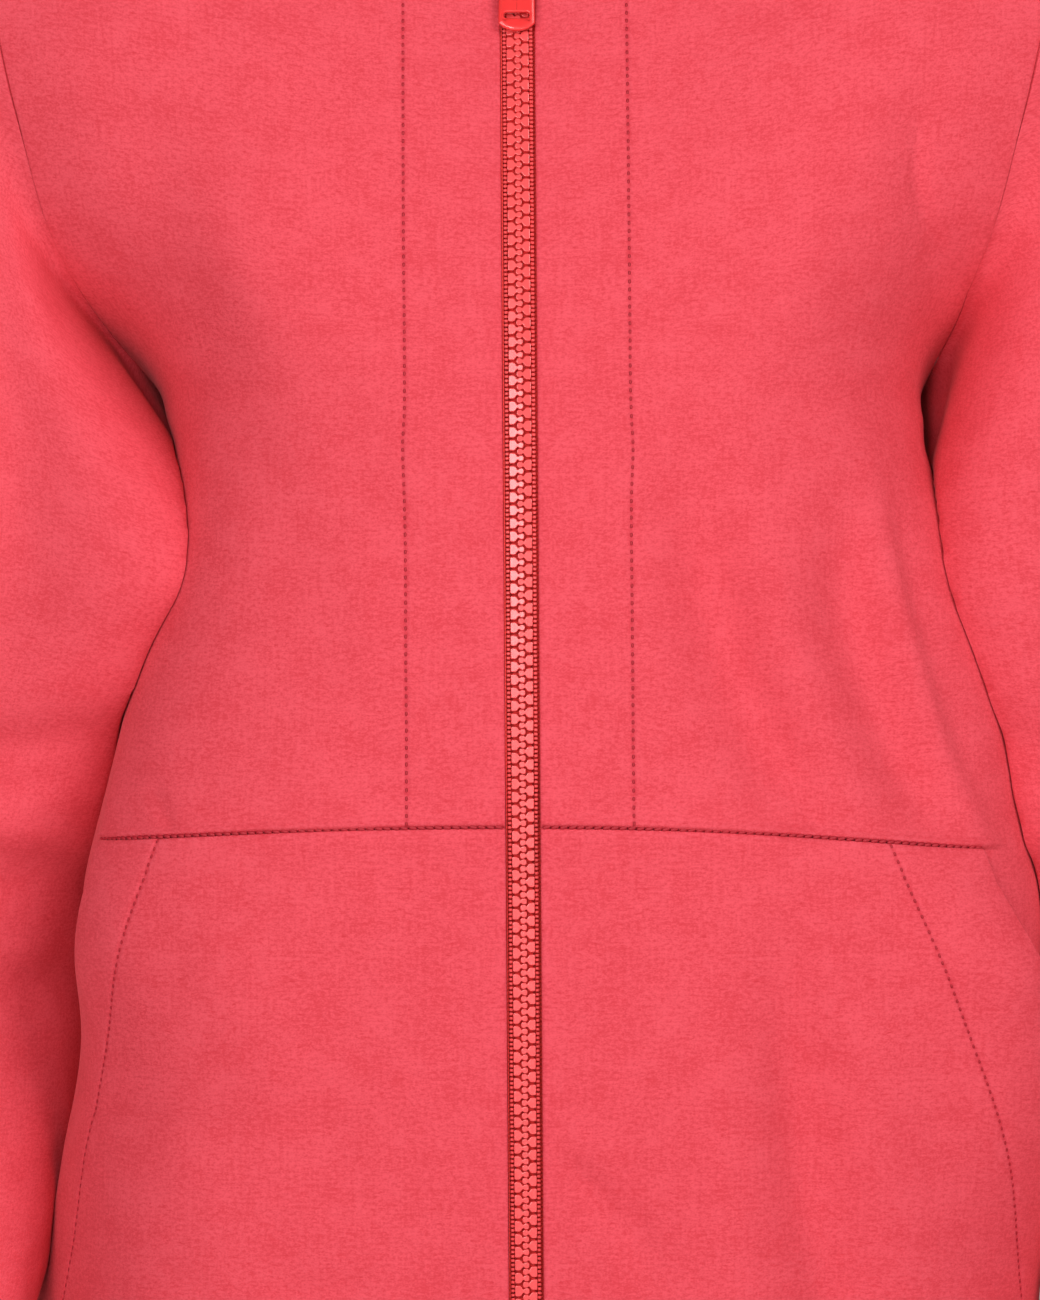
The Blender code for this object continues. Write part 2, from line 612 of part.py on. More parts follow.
def sleeve_rows(side, vs, downs):
    """The sleeve's rings of (point, out) pairs, from the armhole down. vs goes round the armhole."""
    seam = [body_form(v, 1.0, side) for v in vs]
    along = [0.0]
    for a, b in zip(seam, seam[1:]):
        along.append(along[-1] + (b - a).length)
    turns = [length / along[-1] for length in along]
    angles = [2 * math.pi * turn for turn in turns]
    starts = [armhole_start(v, side, angle) for v, angle in zip(vs, angles)]
    bare = [
        [sleeve_point(down, start, angle, side) for start, angle in zip(starts, angles)]
        for down in downs
    ]
    rows = []
    last = len(vs) - 1
    for i, down in enumerate(downs):
        above, below = bare[max(0, i - 1)], bare[min(len(bare) - 1, i + 1)]
        row = []
        for k, turn in enumerate(turns):
            girth = bare[i][(k + 1) % last] - bare[i][(k - 1) % last]
            out = (below[k] - above[k]).cross(girth).normalized() * SIDES[side]
            if i == 0:
                out = out.lerp(starts[k][2], top_share(angles[k])).normalized()
            row.append((bare[i][k] + out * sleeve_lift(down, turn), out))
        row[last] = row[0]
        rows.append(row)
    rows[0] = [
        (point + sideways(leave, side) * SEAM_GAP, out)
        for (point, out), (_, leave, _) in zip(rows[0], starts)
    ]
    rows[0][last] = rows[0][0]
    return rows


def sideways(leave, side):
    """A direction turned a little outwards, away from the body."""
    return (leave + Vector((SIDES[side], 0, 0))).normalized()


def make_sleeve(side):
    round_v = [v for v in FRONT_V if v >= FRONT_UNDERARM_V] + [
        v for v in BACK_V[1:] if v <= BACK_UNDERARM_V
    ]
    sleeve = Sheet()
    sleeve.add_grid(sleeve_rows(side, round_v, spread(0, 1, SLEEVE_STEPS)))
    sleeve.wall("sleeve_" + side, CLOTH, "jersey")


# ---------------------------------------------------------------- pockets


def pocket_lift(v, column):
    """How far the pocket's outer face stands off the front's."""
    below_top = smooth(POCKET_TOP_V - v, *POCKET_GAPE_TOP)
    above_hem = smooth(v, *POCKET_GAPE_FOOT)
    near_mouth = smooth(column / MOUTH_COLUMN, 1 - POCKET_GAPE_SHARE, 0.96)
    return POCKET_GAP + CLOTH + POCKET_GAPE * below_top * above_hem * near_mouth


def make_pocket(side):
    """The pocket is the lower front's own points, moved out."""
    rows = [
        [
            (point + out * pocket_lift(v, column), out)
            for column, (point, out) in enumerate(row[: MOUTH_COLUMN + 1])
        ]
        for v, row in zip(FRONT_V[: POCKET_STEPS + 1], front_grid(side))
    ]
    pocket = Sheet()
    pocket.add_grid(rows)
    pocket.wall("pocket_" + side, CLOTH, "jersey")


# ---------------------------------------------------------------- neckband


def band_rise(point):
    """The direction in which the band stands up from a point of the neckline."""
    inwards = Vector((-point.x, -point.y, 0)).normalized()
    return (Vector((0, 0, 1)) + inwards * BAND_LEAN).normalized()


def neckline(side):
    """The neckline's points from the zip to the middle of the back."""
    vs = [v for v in FRONT_V if v >= NECK_FRONT_V] + [v for v in BACK_V[1:] if v <= NECK_BACK_V]
    points = [body_form(v, 0, side) for v in vs]
    points[-1].x = 0
    return points


def make_neckband():
    band = Sheet()
    for side in SIDES:
        points = neckline(side)
        rows = [[], [], []]
        for i, point in enumerate(points):
            before, after = points[max(0, i - 1)], points[min(len(points) - 1, i + 1)]
            along = after - before
            if i == 0:
                along = Vector((SIDES[side], 0, 0))
            if i == len(points) - 1:
                along = Vector((-SIDES[side], 0, 0))
            rise = band_rise(point)
            out = along.cross(rise).normalized() * SIDES[side]
            for k, row in enumerate(rows):
                height = BAND_FOOT + (BAND_HEIGHT - SEAM_GAP) * k / (len(rows) - 1)
                row.append((point + rise * height, out))
        band.add_grid(rows)
    band.wall("neckband", BAND_CLOTH, "jersey")


# ---------------------------------------------------------------- zip


def zip_line(low, high, steps):
    """The zip's middle line, at steps + 1 heights v, as points with their outward directions."""
    line = []
    for v in spread(low, high, steps):
        point = body_form(v, 0, "left")
        point.x = lean_at(point.z)
        above = body_form(min(NECK_FRONT_V, v + STEP_V), 0, "left")
        up = above - body_form(max(0, v - STEP_V), 0, "left")
        line.append((point, Vector((0, up.z, -up.y)).normalized() * -1))
    return line


def neck_frame():
    """The zip's middle point at the neck seam, with the directions up along the band and out of it."""
    point = body_form(NECK_FRONT_V, 0, "left")
    point.x = lean_at(point.z)
    rise = band_rise(Vector((0, point.y, 0)))
    return point, rise, Vector((0, -rise.z, rise.y))


def band_line(heights):
    point, rise, out = neck_frame()
    return [(point + rise * height, out) for height in heights]


def strip(name, edges, face, depth, material, line):
    """A strip along the zip. edges gives its two sides' x at a height, and face its front's rise."""
    layer = Sheet()
    layer.add_grid(
        [(point + Vector((x, 0, 0)) + out * face, out) for x in edges(point.z)] for point, out in line
    )
    return layer.wall(name, depth, material)


def tape_edges(sign):
    """The tape narrows under the neckband, which curves away from it."""

    def edges(z):
        outer = TAPE_WIDTH - (TAPE_WIDTH - TAPE_TOP_WIDTH) * smooth(z, *TAPE_NARROWS)
        return sorted((sign * TAPE_INNER, sign * outer))

    return edges


def make_tapes():
    line = zip_line(ZIP_FOOT, NECK_FRONT_V, ZIP_STEPS)
    line[-1:] = band_line([0, BAND_HEIGHT / 2, BAND_HEIGHT])
    for side, sign in SIDES.items():
        strip("tape_" + side, tape_edges(sign), TAPE_FACE, TAPE_CLOTH, "zip_tape", line)


def make_chain():
    """The two rows of closed teeth, as one strip."""
    half = CHAIN_WIDTH / 2
    line = zip_line(ZIP_FOOT + BOX_HEIGHT + SEAM_GAP, NECK_FRONT_V, ZIP_STEPS)
    top = SLIDER_FOOT + SLIDER_LENGTH - POST_LENGTH - SEAM_GAP
    line[-1:] = band_line([0, top])
    strip("zip_chain", lambda z: (-half, half), CHAIN_PROUD, CHAIN_DEPTH, "zip_plastic", line)


def make_ends():
    """The box at the zip's foot and the stops at its head."""
    half = BOX_WIDTH / 2
    foot = zip_line(ZIP_FOOT, ZIP_FOOT + BOX_HEIGHT, 1)
    depth = BOX_PROUD - TAPE_FACE - SEAM_GAP
    strip("zip_box", lambda z: (-half, half), BOX_PROUD, depth, "zip_plastic", foot)
    head = band_line([BAND_HEIGHT - STOP_HEIGHT, BAND_HEIGHT])
    for side, sign in SIDES.items():
        edges = sorted((sign * TAPE_INNER, sign * (TAPE_INNER + STOP_WIDTH)))
        strip(
            "stop_" + side, lambda z, edges=edges: edges, CHAIN_PROUD, CHAIN_DEPTH, "zip_plastic", head
        )


def block(name, outline, low, high, bevel=0.0):
    """A plate on the band, from low to high above its face. outline holds (x, rise) pairs, turning left."""
    base, rise, out = neck_frame()
    points = [base + Vector((x, 0, 0)) + rise * u + out * n for n in (low, high) for x, u in outline]
    count = len(outline)
    faces = [list(range(count))[::-1], [n + count for n in range(count)]]
    faces += [[n, (n + 1) % count, (n + 1) % count + count, n + count] for n in range(count)]
    made = solid(name, points, faces, "zip_metal")
    if bevel:
        modifier = made.modifiers.new("soft edges", "BEVEL")
        modifier.width = bevel
        modifier.segments = 1
        modifier.limit_method = "ANGLE"
    return made


def rod(name, centre_rise, centre_out, radius, half_length, sides=16):
    """A round bar across the band, along X."""
    base, rise, out = neck_frame()
    middle = base + rise * centre_rise + out * centre_out
    mesh = bpy.data.meshes.new(name)
    shaped = bmesh.new()
    bmesh.ops.create_cone(
        shaped, cap_ends=True, segments=sides, radius1=radius, radius2=radius, depth=2 * half_length
    )
    turned = Vector((0, 0, 1)).rotation_difference(Vector((1, 0, 0))).to_matrix()
    bmesh.ops.transform(shaped, matrix=turned.to_4x4(), verts=shaped.verts)
    bmesh.ops.translate(shaped, vec=middle, verts=shaped.verts)
    shaped.to_mesh(mesh)
    shaped.free()
    mesh.materials.append(MADE["zip_metal"])
    made = bpy.data.objects.new(name, mesh)
    bpy.context.scene.collection.objects.link(made)
    return made


def combine(target, other, operation):
    """Adds a piece to a solid, or cuts it out. The piece itself isn't built."""
    modifier = target.modifiers.new(other.name, "BOOLEAN")
    modifier.operation = operation
    modifier.object = other
    other.hide_render = True
    other.display_type = "WIRE"


def rectangle(left, right, foot, head):
    return [(left, foot), (right, foot), (right, head), (left, head)]


PLATE_LOW = CHAIN_PROUD + SEAM_GAP
PLATE_HIGH = PLATE_LOW + SLIDER_PLATE
PIN_OUT = PLATE_HIGH + PIN_PLAY + TAB_EYE


def make_slider():
    head = SLIDER_FOOT + SLIDER_LENGTH
    right = [
        (aside * SLIDER_WIDTH / 2, SLIDER_FOOT + rise * SLIDER_LENGTH) for aside, rise in SLIDER_OUTLINE
    ]
    outline = right + [(-x, u) for x, u in reversed(right)]
    slider = block("slider", outline, PLATE_LOW, PLATE_HIGH, METAL_BEVEL)
    back_high = TAPE_FACE - TAPE_CLOTH - SEAM_GAP
    back = [(x * SLIDER_BACK_SHARE, u) for x, u in outline]
    combine(slider, block("slider_back", back, back_high - SLIDER_BACK, back_high), "UNION")
    post = rectangle(-POST_WIDTH / 2, POST_WIDTH / 2, head - POST_LENGTH, head - METAL_OVERLAP)
    post_low, post_high = back_high - METAL_OVERLAP, PLATE_LOW + METAL_OVERLAP
    combine(slider, block("slider_post", post, post_low, post_high), "UNION")
    inner = TAB_NECK / 2 + LUG_GAP
    for side, sign in SIDES.items():
        near, far = sorted((sign * inner, sign * (inner + LUG_WIDTH)))
        lug = rectangle(near, far, PIN_RISE - LUG_REACH, PIN_RISE + LUG_REACH)
        low, high = PLATE_HIGH - METAL_OVERLAP, PIN_OUT + LUG_PROUD
        combine(slider, block("slider_lug_" + side, lug, low, high, METAL_BEVEL), "UNION")
    pin = rod("slider_pin", PIN_RISE, PIN_OUT, PIN_RADIUS, inner + LUG_WIDTH / 2)
    combine(slider, pin, "UNION")


def tab_outline():
    """The pull tab's outline, down its right edge, round its bowed foot and up again."""
    neck, wide = TAB_NECK / 2, TAB_WIDTH / 2
    foot = PIN_RISE - TAB_DROP
    shoulder = PIN_RISE - TAB_SHOULDER
    left = [
        (-neck, PIN_RISE), (-neck, PIN_RISE - TAB_NECK_LENGTH), (-wide * TAB_SHOULDER_ASIDE, shoulder)
    ]
    bow = [(wide * x, foot + TAB_BOW * abs(x) ** TAB_FOOT_POWER) for x in TAB_FOOT_ASIDE]
    return left + bow + [(-x, u) for x, u in reversed(left)]


def make_pull_tab():
    low, high = PIN_OUT - TAB_THICK / 2, PIN_OUT + TAB_THICK / 2
    tab = block("pull_tab", tab_outline(), low, high)
    combine(tab, rod("tab_eye", PIN_RISE, PIN_OUT, TAB_EYE, TAB_NECK / 2, 20), "UNION")
    combine(tab, rod("tab_bore", PIN_RISE, PIN_OUT, PIN_RADIUS + PIN_PLAY, TAB_NECK), "DIFFERENCE")
    half, round_end = SLOT_WIDTH / 2, SLOT_HEIGHT / 2
    level = PIN_RISE - TAB_DROP + SLOT_RISE
    slot = []
    for middle, turn in ((half - round_end, -90), (round_end - half, 90)):
        for step in range(5):
            angle = math.radians(turn + step * 45)
            slot.append((middle + round_end * math.cos(angle), level + round_end * math.sin(angle)))
    combine(tab, block("tab_slot", slot, low - CUT_PAST, high + CUT_PAST), "DIFFERENCE")


def make_zip():
    make_tapes()
    make_chain()
    make_ends()
    make_slider()
    make_pull_tab()


def main():
    for old in list(bpy.data.objects):
        bpy.data.objects.remove(old)
    MADE.update(make_materials())
    for side in SIDES:
        make_front(side)
        make_pocket(side)
        make_sleeve(side)
    make_back()
    make_neckband()
    make_zip()


MADE = {}
main()
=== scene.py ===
"""Dresses a zip-front jersey sweatshirt: its cloth, sewing, moulded zip and studio.

Left and right are the wearer's: the right side is at -X, the front faces -Y and +Z is up.
All sizes are in metres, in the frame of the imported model. The form's tables are the part's own.
"""

import math

import bpy
import numpy as np
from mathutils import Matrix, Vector
from mathutils.bvhtree import BVHTree


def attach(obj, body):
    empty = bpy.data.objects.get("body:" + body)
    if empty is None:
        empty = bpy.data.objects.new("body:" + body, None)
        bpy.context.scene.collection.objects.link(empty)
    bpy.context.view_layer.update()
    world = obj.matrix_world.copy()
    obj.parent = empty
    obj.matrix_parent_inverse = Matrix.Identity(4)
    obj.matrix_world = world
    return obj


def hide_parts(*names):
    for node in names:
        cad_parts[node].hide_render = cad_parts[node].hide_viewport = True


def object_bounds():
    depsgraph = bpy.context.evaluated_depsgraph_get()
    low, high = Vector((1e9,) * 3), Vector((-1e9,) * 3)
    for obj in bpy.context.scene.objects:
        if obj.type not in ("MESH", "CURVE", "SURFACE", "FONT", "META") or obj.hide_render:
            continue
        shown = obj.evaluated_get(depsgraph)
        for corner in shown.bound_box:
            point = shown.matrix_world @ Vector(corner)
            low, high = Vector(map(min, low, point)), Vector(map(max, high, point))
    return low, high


bl_info = {
    "name": "Zip-front sweatshirt",
    "version": (1, 0, 0),
    "blender": (4, 5, 0),
    "location": "3D View > Sidebar > Sweatshirt",
    "description": "Dresses a zip-front jersey sweatshirt with its cloth, sewing, zip and studio",
    "category": "Object",
}

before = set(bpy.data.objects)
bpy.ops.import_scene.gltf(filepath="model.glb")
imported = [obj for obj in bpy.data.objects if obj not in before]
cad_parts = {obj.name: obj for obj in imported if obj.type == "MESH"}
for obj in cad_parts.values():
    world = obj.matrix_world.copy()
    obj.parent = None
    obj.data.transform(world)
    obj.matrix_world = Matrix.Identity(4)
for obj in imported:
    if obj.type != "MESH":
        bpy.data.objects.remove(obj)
CAD_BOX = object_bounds()

# ---------------------------------------------------------------- the part's sizes

CLOTH = 0.0016  # the jersey's thickness
FACING_CLOTH = 0.0004  # the front is this much thicker where its facing lies
BAND_CLOTH = 0.0022  # the neckband is two layers
TAPE_CLOTH, CORD_CLOTH = 0.0010, 0.0005
SEAM_GAP = 0.0003
HEM_Z = -0.650

ZIP_OPENING = 0.0113  # between the two front edges
ZIP_LEAN, ZIP_LEAN_FROM_Z = 0.0071, -0.271
NECK_FRONT_Z, LEAN_FADES = -0.118, (0.548, 0.600)
NECK_X, NECK_X_V = 0.042, 0.585  # the neckline's first row past the zip, which it runs straight to
TAPE_WIDTH, TAPE_TOP_WIDTH, TAPE_NARROWS = 0.0125, 0.0068, (-0.155, -0.118)
TAPE_INNER = 0.0008
TAPE_FACE = -BAND_CLOTH - 2 * SEAM_GAP
TAPE_STEP = 0.0021
TAPE_RISE = {"right": 0.0023, "left": 0.0}  # how far it swells out past the teeth
TAPE_SWELLS, TAPE_SINKS = (0.00493, 0.0051), (0.00550, 0.00557)  # from the zip's middle line
TAPE_PAST_BOX, TAPE_BELOW_NECK = (0.001, 0.004), (0.006, 0.002)  # where the swell starts and ends
CHAIN_PROUD, CHAIN_DEPTH = 0.0005, 0.0030
ZIP_FOOT = 0.0020
BOX_WIDTH, BOX_HEIGHT, BOX_PROUD = 0.0098, 0.0075, 0.0013
STOP_WIDTH, STOP_HEIGHT = 0.0030, 0.0018

SLIDER_WIDTH, SLIDER_LENGTH, SLIDER_PLATE, SLIDER_FOOT = 0.0132, 0.0180, 0.0020, 0.0008
POST_WIDTH, POST_LENGTH = 0.0010, 0.0060
PIN_RISE, PIN_RADIUS, PIN_PLAY = 0.0040, 0.0006, 0.0003
LUG_WIDTH, LUG_GAP, LUG_REACH, LUG_PROUD = 0.0012, 0.0003, 0.00152, 0.00128
TAB_WIDTH, TAB_THICK, TAB_DROP = 0.0119, 0.0018, 0.0395
TAB_NECK, TAB_EYE, TAB_SHOULDER, TAB_BOW = 0.0056, 0.0016, 0.0090, 0.0026
TAB_TOP = 0.0010  # the plate ends this far below the pin's axis
SLOT_WIDTH, SLOT_HEIGHT, SLOT_RISE = 0.0085, 0.0021, 0.0052
PLATE_LOW = CHAIN_PROUD + SEAM_GAP
PLATE_HIGH = PLATE_LOW + SLIDER_PLATE
PIN_OUT = PLATE_HIGH + PIN_PLAY + TAB_EYE

BAND_HEIGHT, BAND_LEAN, BAND_FOOT = 0.022, 0.30, 0.00010

POCKET_TOP_Z, POCKET_CORNER_ARC, POCKET_MOUTH_SLOPE = -0.4095, 0.151, 0.41
POCKET_GAP = 0.0004
POCKET_GAPE = {"right": 0.0028, "left": 0.0105}
POCKET_GAPE_TOP, POCKET_GAPE_FOOT, POCKET_GAPE_ACROSS = (0.004, 0.045), (0.060, 0.160), (0.55, 0.96)
POCKET_SEAM_ALLOWANCE = 0.010
POCKET_DROOP = {"right": 0.0055, "left": 0.0078}
DROOP_REACH = 1.15

CAP_SHARE = 0.30
UNDERARM_PULL, SHOULDER_PULL, ARRIVE_PULL = 0.30, 0.55, 0.95
CAP_TOP = (0.08, 0.55)
ARMHOLE_FLUSH, FLUSH_FRONT = 0.90, (0.10, 0.65)  # in front, the sleeve carries straight on from the body
SIDES = {"right": -1, "left": 1}

# How the sleeves settle against the body: forward, in towards it, and how square their inner front is.
SETTLE_COLUMNS = (
    "down", "forward_right", "forward_left", "in_right", "in_left", "square_right", "square_left"
)
SETTLE_ROWS = (
    (0.00, 0.020, 0.024, 0.006, 0.008, 0.46, 0.52),
    (0.20, 0.008, 0.022, 0.004, 0.009, 0.18, 0.42),
    (0.42, -0.008, 0.016, 0.003, 0.007, 0.02, 0.28),
    (0.62, -0.006, 0.010, 0.008, 0.005, 0.08, 0.15),
    (0.82, 0.000, 0.004, 0.007, 0.001, 0.10, 0.05),
    (1.00, 0.000, 0.000, 0.002, 0.000, 0.00, 0.00),
)

# ---------------------------------------------------------------- the sewing's sizes

HEM_DEPTH = 0.022  # the turned hem and cuffs
FACING_ARC = {"right": 0.0374, "left": 0.0357}  # the facing's stitching, from the zip's middle line
FACING_EDGE = 0.001
MOUTH_HEM = {"right": 0.0310, "left": 0.0335}  # the pocket mouth's stitching, in from its edge
MOUTH_HEM_RISE, MOUTH_HEM_EDGE = 0.0004, (-0.001, 0.002)
ALLOWANCE, ALLOWANCE_RISE, ALLOWANCE_EDGE = 0.0110, 0.00035, 0.0015  # it shows under the pocket's top edge
SEAM_SWELL, SEAM_SWELL_RISES, SEAM_SWELL_FALLS = 0.0017, (0, 0.0012), (0.002, 0.034)  # up to the pocket seam
UNDER_POCKET = 0.0007  # the front lies this much lower under the pocket
UNDER_POCKET_TOP, UNDER_POCKET_SIDE, UNDER_POCKET_ZIP = (-0.004, 0), 0.4, (0.012, 0.030)
SEAM_RIDGE, SEAM_RIDGE_AT, SEAM_RIDGE_HALF = 0.00085, 0.0020, 0.0011
SEAM_THREAD_AT, SEAM_THREAD_RISE, SEAM_THREAD_STARTS = 0.0005, 0.0010, 0.03
SEAM_ROWS = np.array([0, 0.0003, 0.0008, 0.0013, 0.0017, 0.0021, 0.0025, 0.0030, 0.0037, 0.0050])
BAND_STITCH = 0.0030
FRONT_HEM_COVERED = 0.004  # the pocket covers the front's hem to this far past its own seam

STITCH_PROFILE = ((-0.5, 0.35), (-0.36, 0.85), (0.0, 1.0), (0.36, 0.85), (0.5, 0.35))  # place, and thickness
STITCH_SIDES = 6
STITCH_RISE, STITCH_SINK, SEAM_STITCH_RISE, SEAM_SLANT = 0.45, 0.20, 0.8, 16  # of a thickness, and in degrees
STITCH_WOBBLE = 0.03  # of a pitch
TANGENT = 0.0008  # how far either side a line's direction is read

# ---------------------------------------------------------------- the form's tables

FRONT_UNDERARM_V, NECK_FRONT_V, SHOULDER_V = 0.376, 0.548, 0.660
NECK_BACK_V, BACK_UNDERARM_V, BACK_HEM_V = 0.745, 0.965, 1.341
POCKET_TOP_V = POCKET_TOP_Z - HEM_Z

CENTRE_COLUMNS = ("v", "x", "y", "z", "lead", "near_pull", "far_pull")
CENTRE_ROWS = (
    (0.000, 0, -0.108, -0.650, 0, 0.80, 0.60),
    (0.089, 0, -0.114, -0.561, 0, 0.84, 0.62),
    (0.170, 0, -0.117, -0.480, 0, 0.86, 0.64),
    (0.240, 0, -0.119, -0.410, 0, 0.84, 0.64),
    (0.290, 0, -0.120, -0.360, 0, 0.80, 0.64),
    (0.338, 0, -0.119, -0.312, 0, 0.76, 0.64),
    (0.376, 0, -0.117, -0.274, 0, 0.72, 0.62),
    (0.418, 0, -0.112, -0.236, 0, 0.66, 0.50),
    (0.466, 0, -0.103, -0.192, 0, 0.58, 0.44),
    (0.510, 0, -0.092, -0.152, 0, 0.52, 0.40),
    (0.548, 0, -0.080, -0.118, 0, 0.46, 0.36),
    (0.585, 0.042, -0.068, -0.090, 2, 0.38, 0.34),
    (0.625, 0.068, -0.038, -0.045, 3, 0.34, 0.33),
    (0.660, 0.079, 0.002, -0.012, 2, 0.33, 0.33),
    (0.690, 0.071, 0.036, -0.014, -2, 0.34, 0.33),
    (0.715, 0.044, 0.058, -0.022, 0, 0.40, 0.34),
    (0.745, 0, 0.066, -0.028, 0, 0.46, 0.36),
    (0.800, 0, 0.087, -0.090, 0, 0.52, 0.40),
    (0.855, 0, 0.100, -0.148, 0, 0.56, 0.42),
    (0.910, 0, 0.105, -0.206, 0, 0.60, 0.46),
    (0.965, 0, 0.104, -0.264, 0, 0.64, 0.56),
    (1.003, 0, 0.101, -0.306, 0, 0.64, 0.58),
    (1.051, 0, 0.096, -0.356, 0, 0.66, 0.58),
    (1.101, 0, 0.095, -0.408, 0, 0.70, 0.60),
    (1.171, 0, 0.101, -0.480, 0, 0.72, 0.60),
    (1.252, 0, 0.108, -0.561, 0, 0.72, 0.60),
    (1.341, 0, 0.109, -0.650, 0, 0.70, 0.58),
)

SIDE_COLUMNS = ("v", "x_right", "x_left", "y", "z", "turn_right", "turn_left")
SIDE_ROWS = (
    (0.000, 0.180, 0.177, 0.014, -0.650, 68, 90),
    (0.089, 0.166, 0.168, 0.014, -0.561, 72, 96),
    (0.130, 0.153, 0.166, 0.012, -0.520, 84, 101),
    (0.170, 0.137, 0.164, 0.010, -0.480, 100, 106),
    (0.212, 0.132, 0.162, 0.009, -0.438, 112, 110),
    (0.240, 0.127, 0.158, 0.009, -0.410, 113, 110),
    (0.290, 0.114, 0.150, 0.010, -0.360, 114, 110),
    (0.338, 0.103, 0.137, 0.013, -0.312, 114, 108),
    (0.362, 0.105, 0.128, 0.014, -0.286, 108, 104),
    (0.376, 0.116, 0.132, 0.014, -0.272, 98, 98),
    (0.418, 0.150, 0.152, -0.054, -0.226, 44, 44),
    (0.466, 0.166, 0.166, -0.070, -0.174, 30, 30),
    (0.510, 0.177, 0.177, -0.065, -0.126, 24, 24),
    (0.548, 0.186, 0.186, -0.049, -0.090, 21, 21),
    (0.585, 0.193, 0.193, -0.029, -0.066, 16, 16),
    (0.625, 0.198, 0.198, -0.011, -0.052, 8, 8),
    (0.660, 0.201, 0.201, 0.006, -0.047, 2, 2),
    (0.690, 0.200, 0.200, 0.023, -0.053, -5, -5),
    (0.715, 0.197, 0.197, 0.040, -0.067, -12, -12),
    (0.745, 0.193, 0.193, 0.055, -0.093, -20, -20),
    (0.800, 0.185, 0.185, 0.067, -0.135, -30, -30),
    (0.855, 0.172, 0.172, 0.066, -0.180, -40, -40),
    (0.910, 0.153, 0.154, 0.050, -0.228, -58, -58),
    (0.965, 0.116, 0.132, 0.014, -0.272, -82, -82),
)

ARM_COLUMNS = ("down", "x_right", "x_left", "y", "z", "r_out", "r_front", "tilt")
ARM_ROWS = (
    (0.00, 0.1730, 0.2120, 0.018, -0.335, 0.0610, 0.0670, 2),
    (0.16, 0.1870, 0.2200, 0.016, -0.380, 0.0595, 0.0640, 3),
    (0.32, 0.1985, 0.2270, 0.014, -0.425, 0.0580, 0.0610, 5),
    (0.48, 0.2055, 0.2295, 0.009, -0.470, 0.0560, 0.0580, 9),
    (0.65, 0.2110, 0.2290, -0.003, -0.516, 0.0530, 0.0545, 14),
    (0.82, 0.2155, 0.2270, -0.022, -0.562, 0.0490, 0.0500, 18),
    (1.00, 0.2205, 0.2260, -0.044, -0.610, 0.0445, 0.0450, 20),
)

# The part's largest folds, and then the creases that only the cloth here has.
FOLD_COLUMNS = ("x0", "z0", "x1", "z1", "bow", "half_width", "height")
FOLD_ROWS = {
    "front": (
        (0.056, -0.290, 0.096, -0.408, 0.06, 0.0160, -0.0074),
        (0.104, -0.300, 0.138, -0.412, 0.05, 0.0160, -0.0070),
        (0.115, -0.290, 0.146, -0.408, 0.05, 0.0070, 0.0032),
        (0.086, -0.440, 0.112, -0.600, 0.04, 0.0150, -0.0062),
        (0.060, -0.440, 0.078, -0.610, 0.02, 0.0180, 0.0034),
        (0.017, -0.518, 0.043, -0.556, -0.08, 0.0070, -0.0026),
        (-0.118, -0.140, -0.112, -0.270, 0.00, 0.0220, -0.0030),
        (0.132, -0.165, 0.170, -0.255, 0.16, 0.0100, -0.0028),
    ),
    "back": (
        (-0.060, -0.300, -0.105, -0.430, 0.06, 0.0160, -0.0050),
        (0.062, -0.290, 0.112, -0.425, -0.06, 0.0150, -0.0052),
        (-0.020, -0.360, 0.030, -0.395, 0.10, 0.0120, -0.0030),
        (0.030, -0.440, 0.012, -0.600, 0.04, 0.0180, -0.0040),
        (-0.095, -0.170, -0.125, -0.290, -0.05, 0.0170, -0.0040),
        (0.100, -0.165, 0.132, -0.285, 0.05, 0.0160, -0.0040),
    ),
}
FOLD_STARTS, FOLD_ENDS = (-0.12, 0.35), (0.75, 1.12)
FOLD_FACING = (0.25, 0.75)

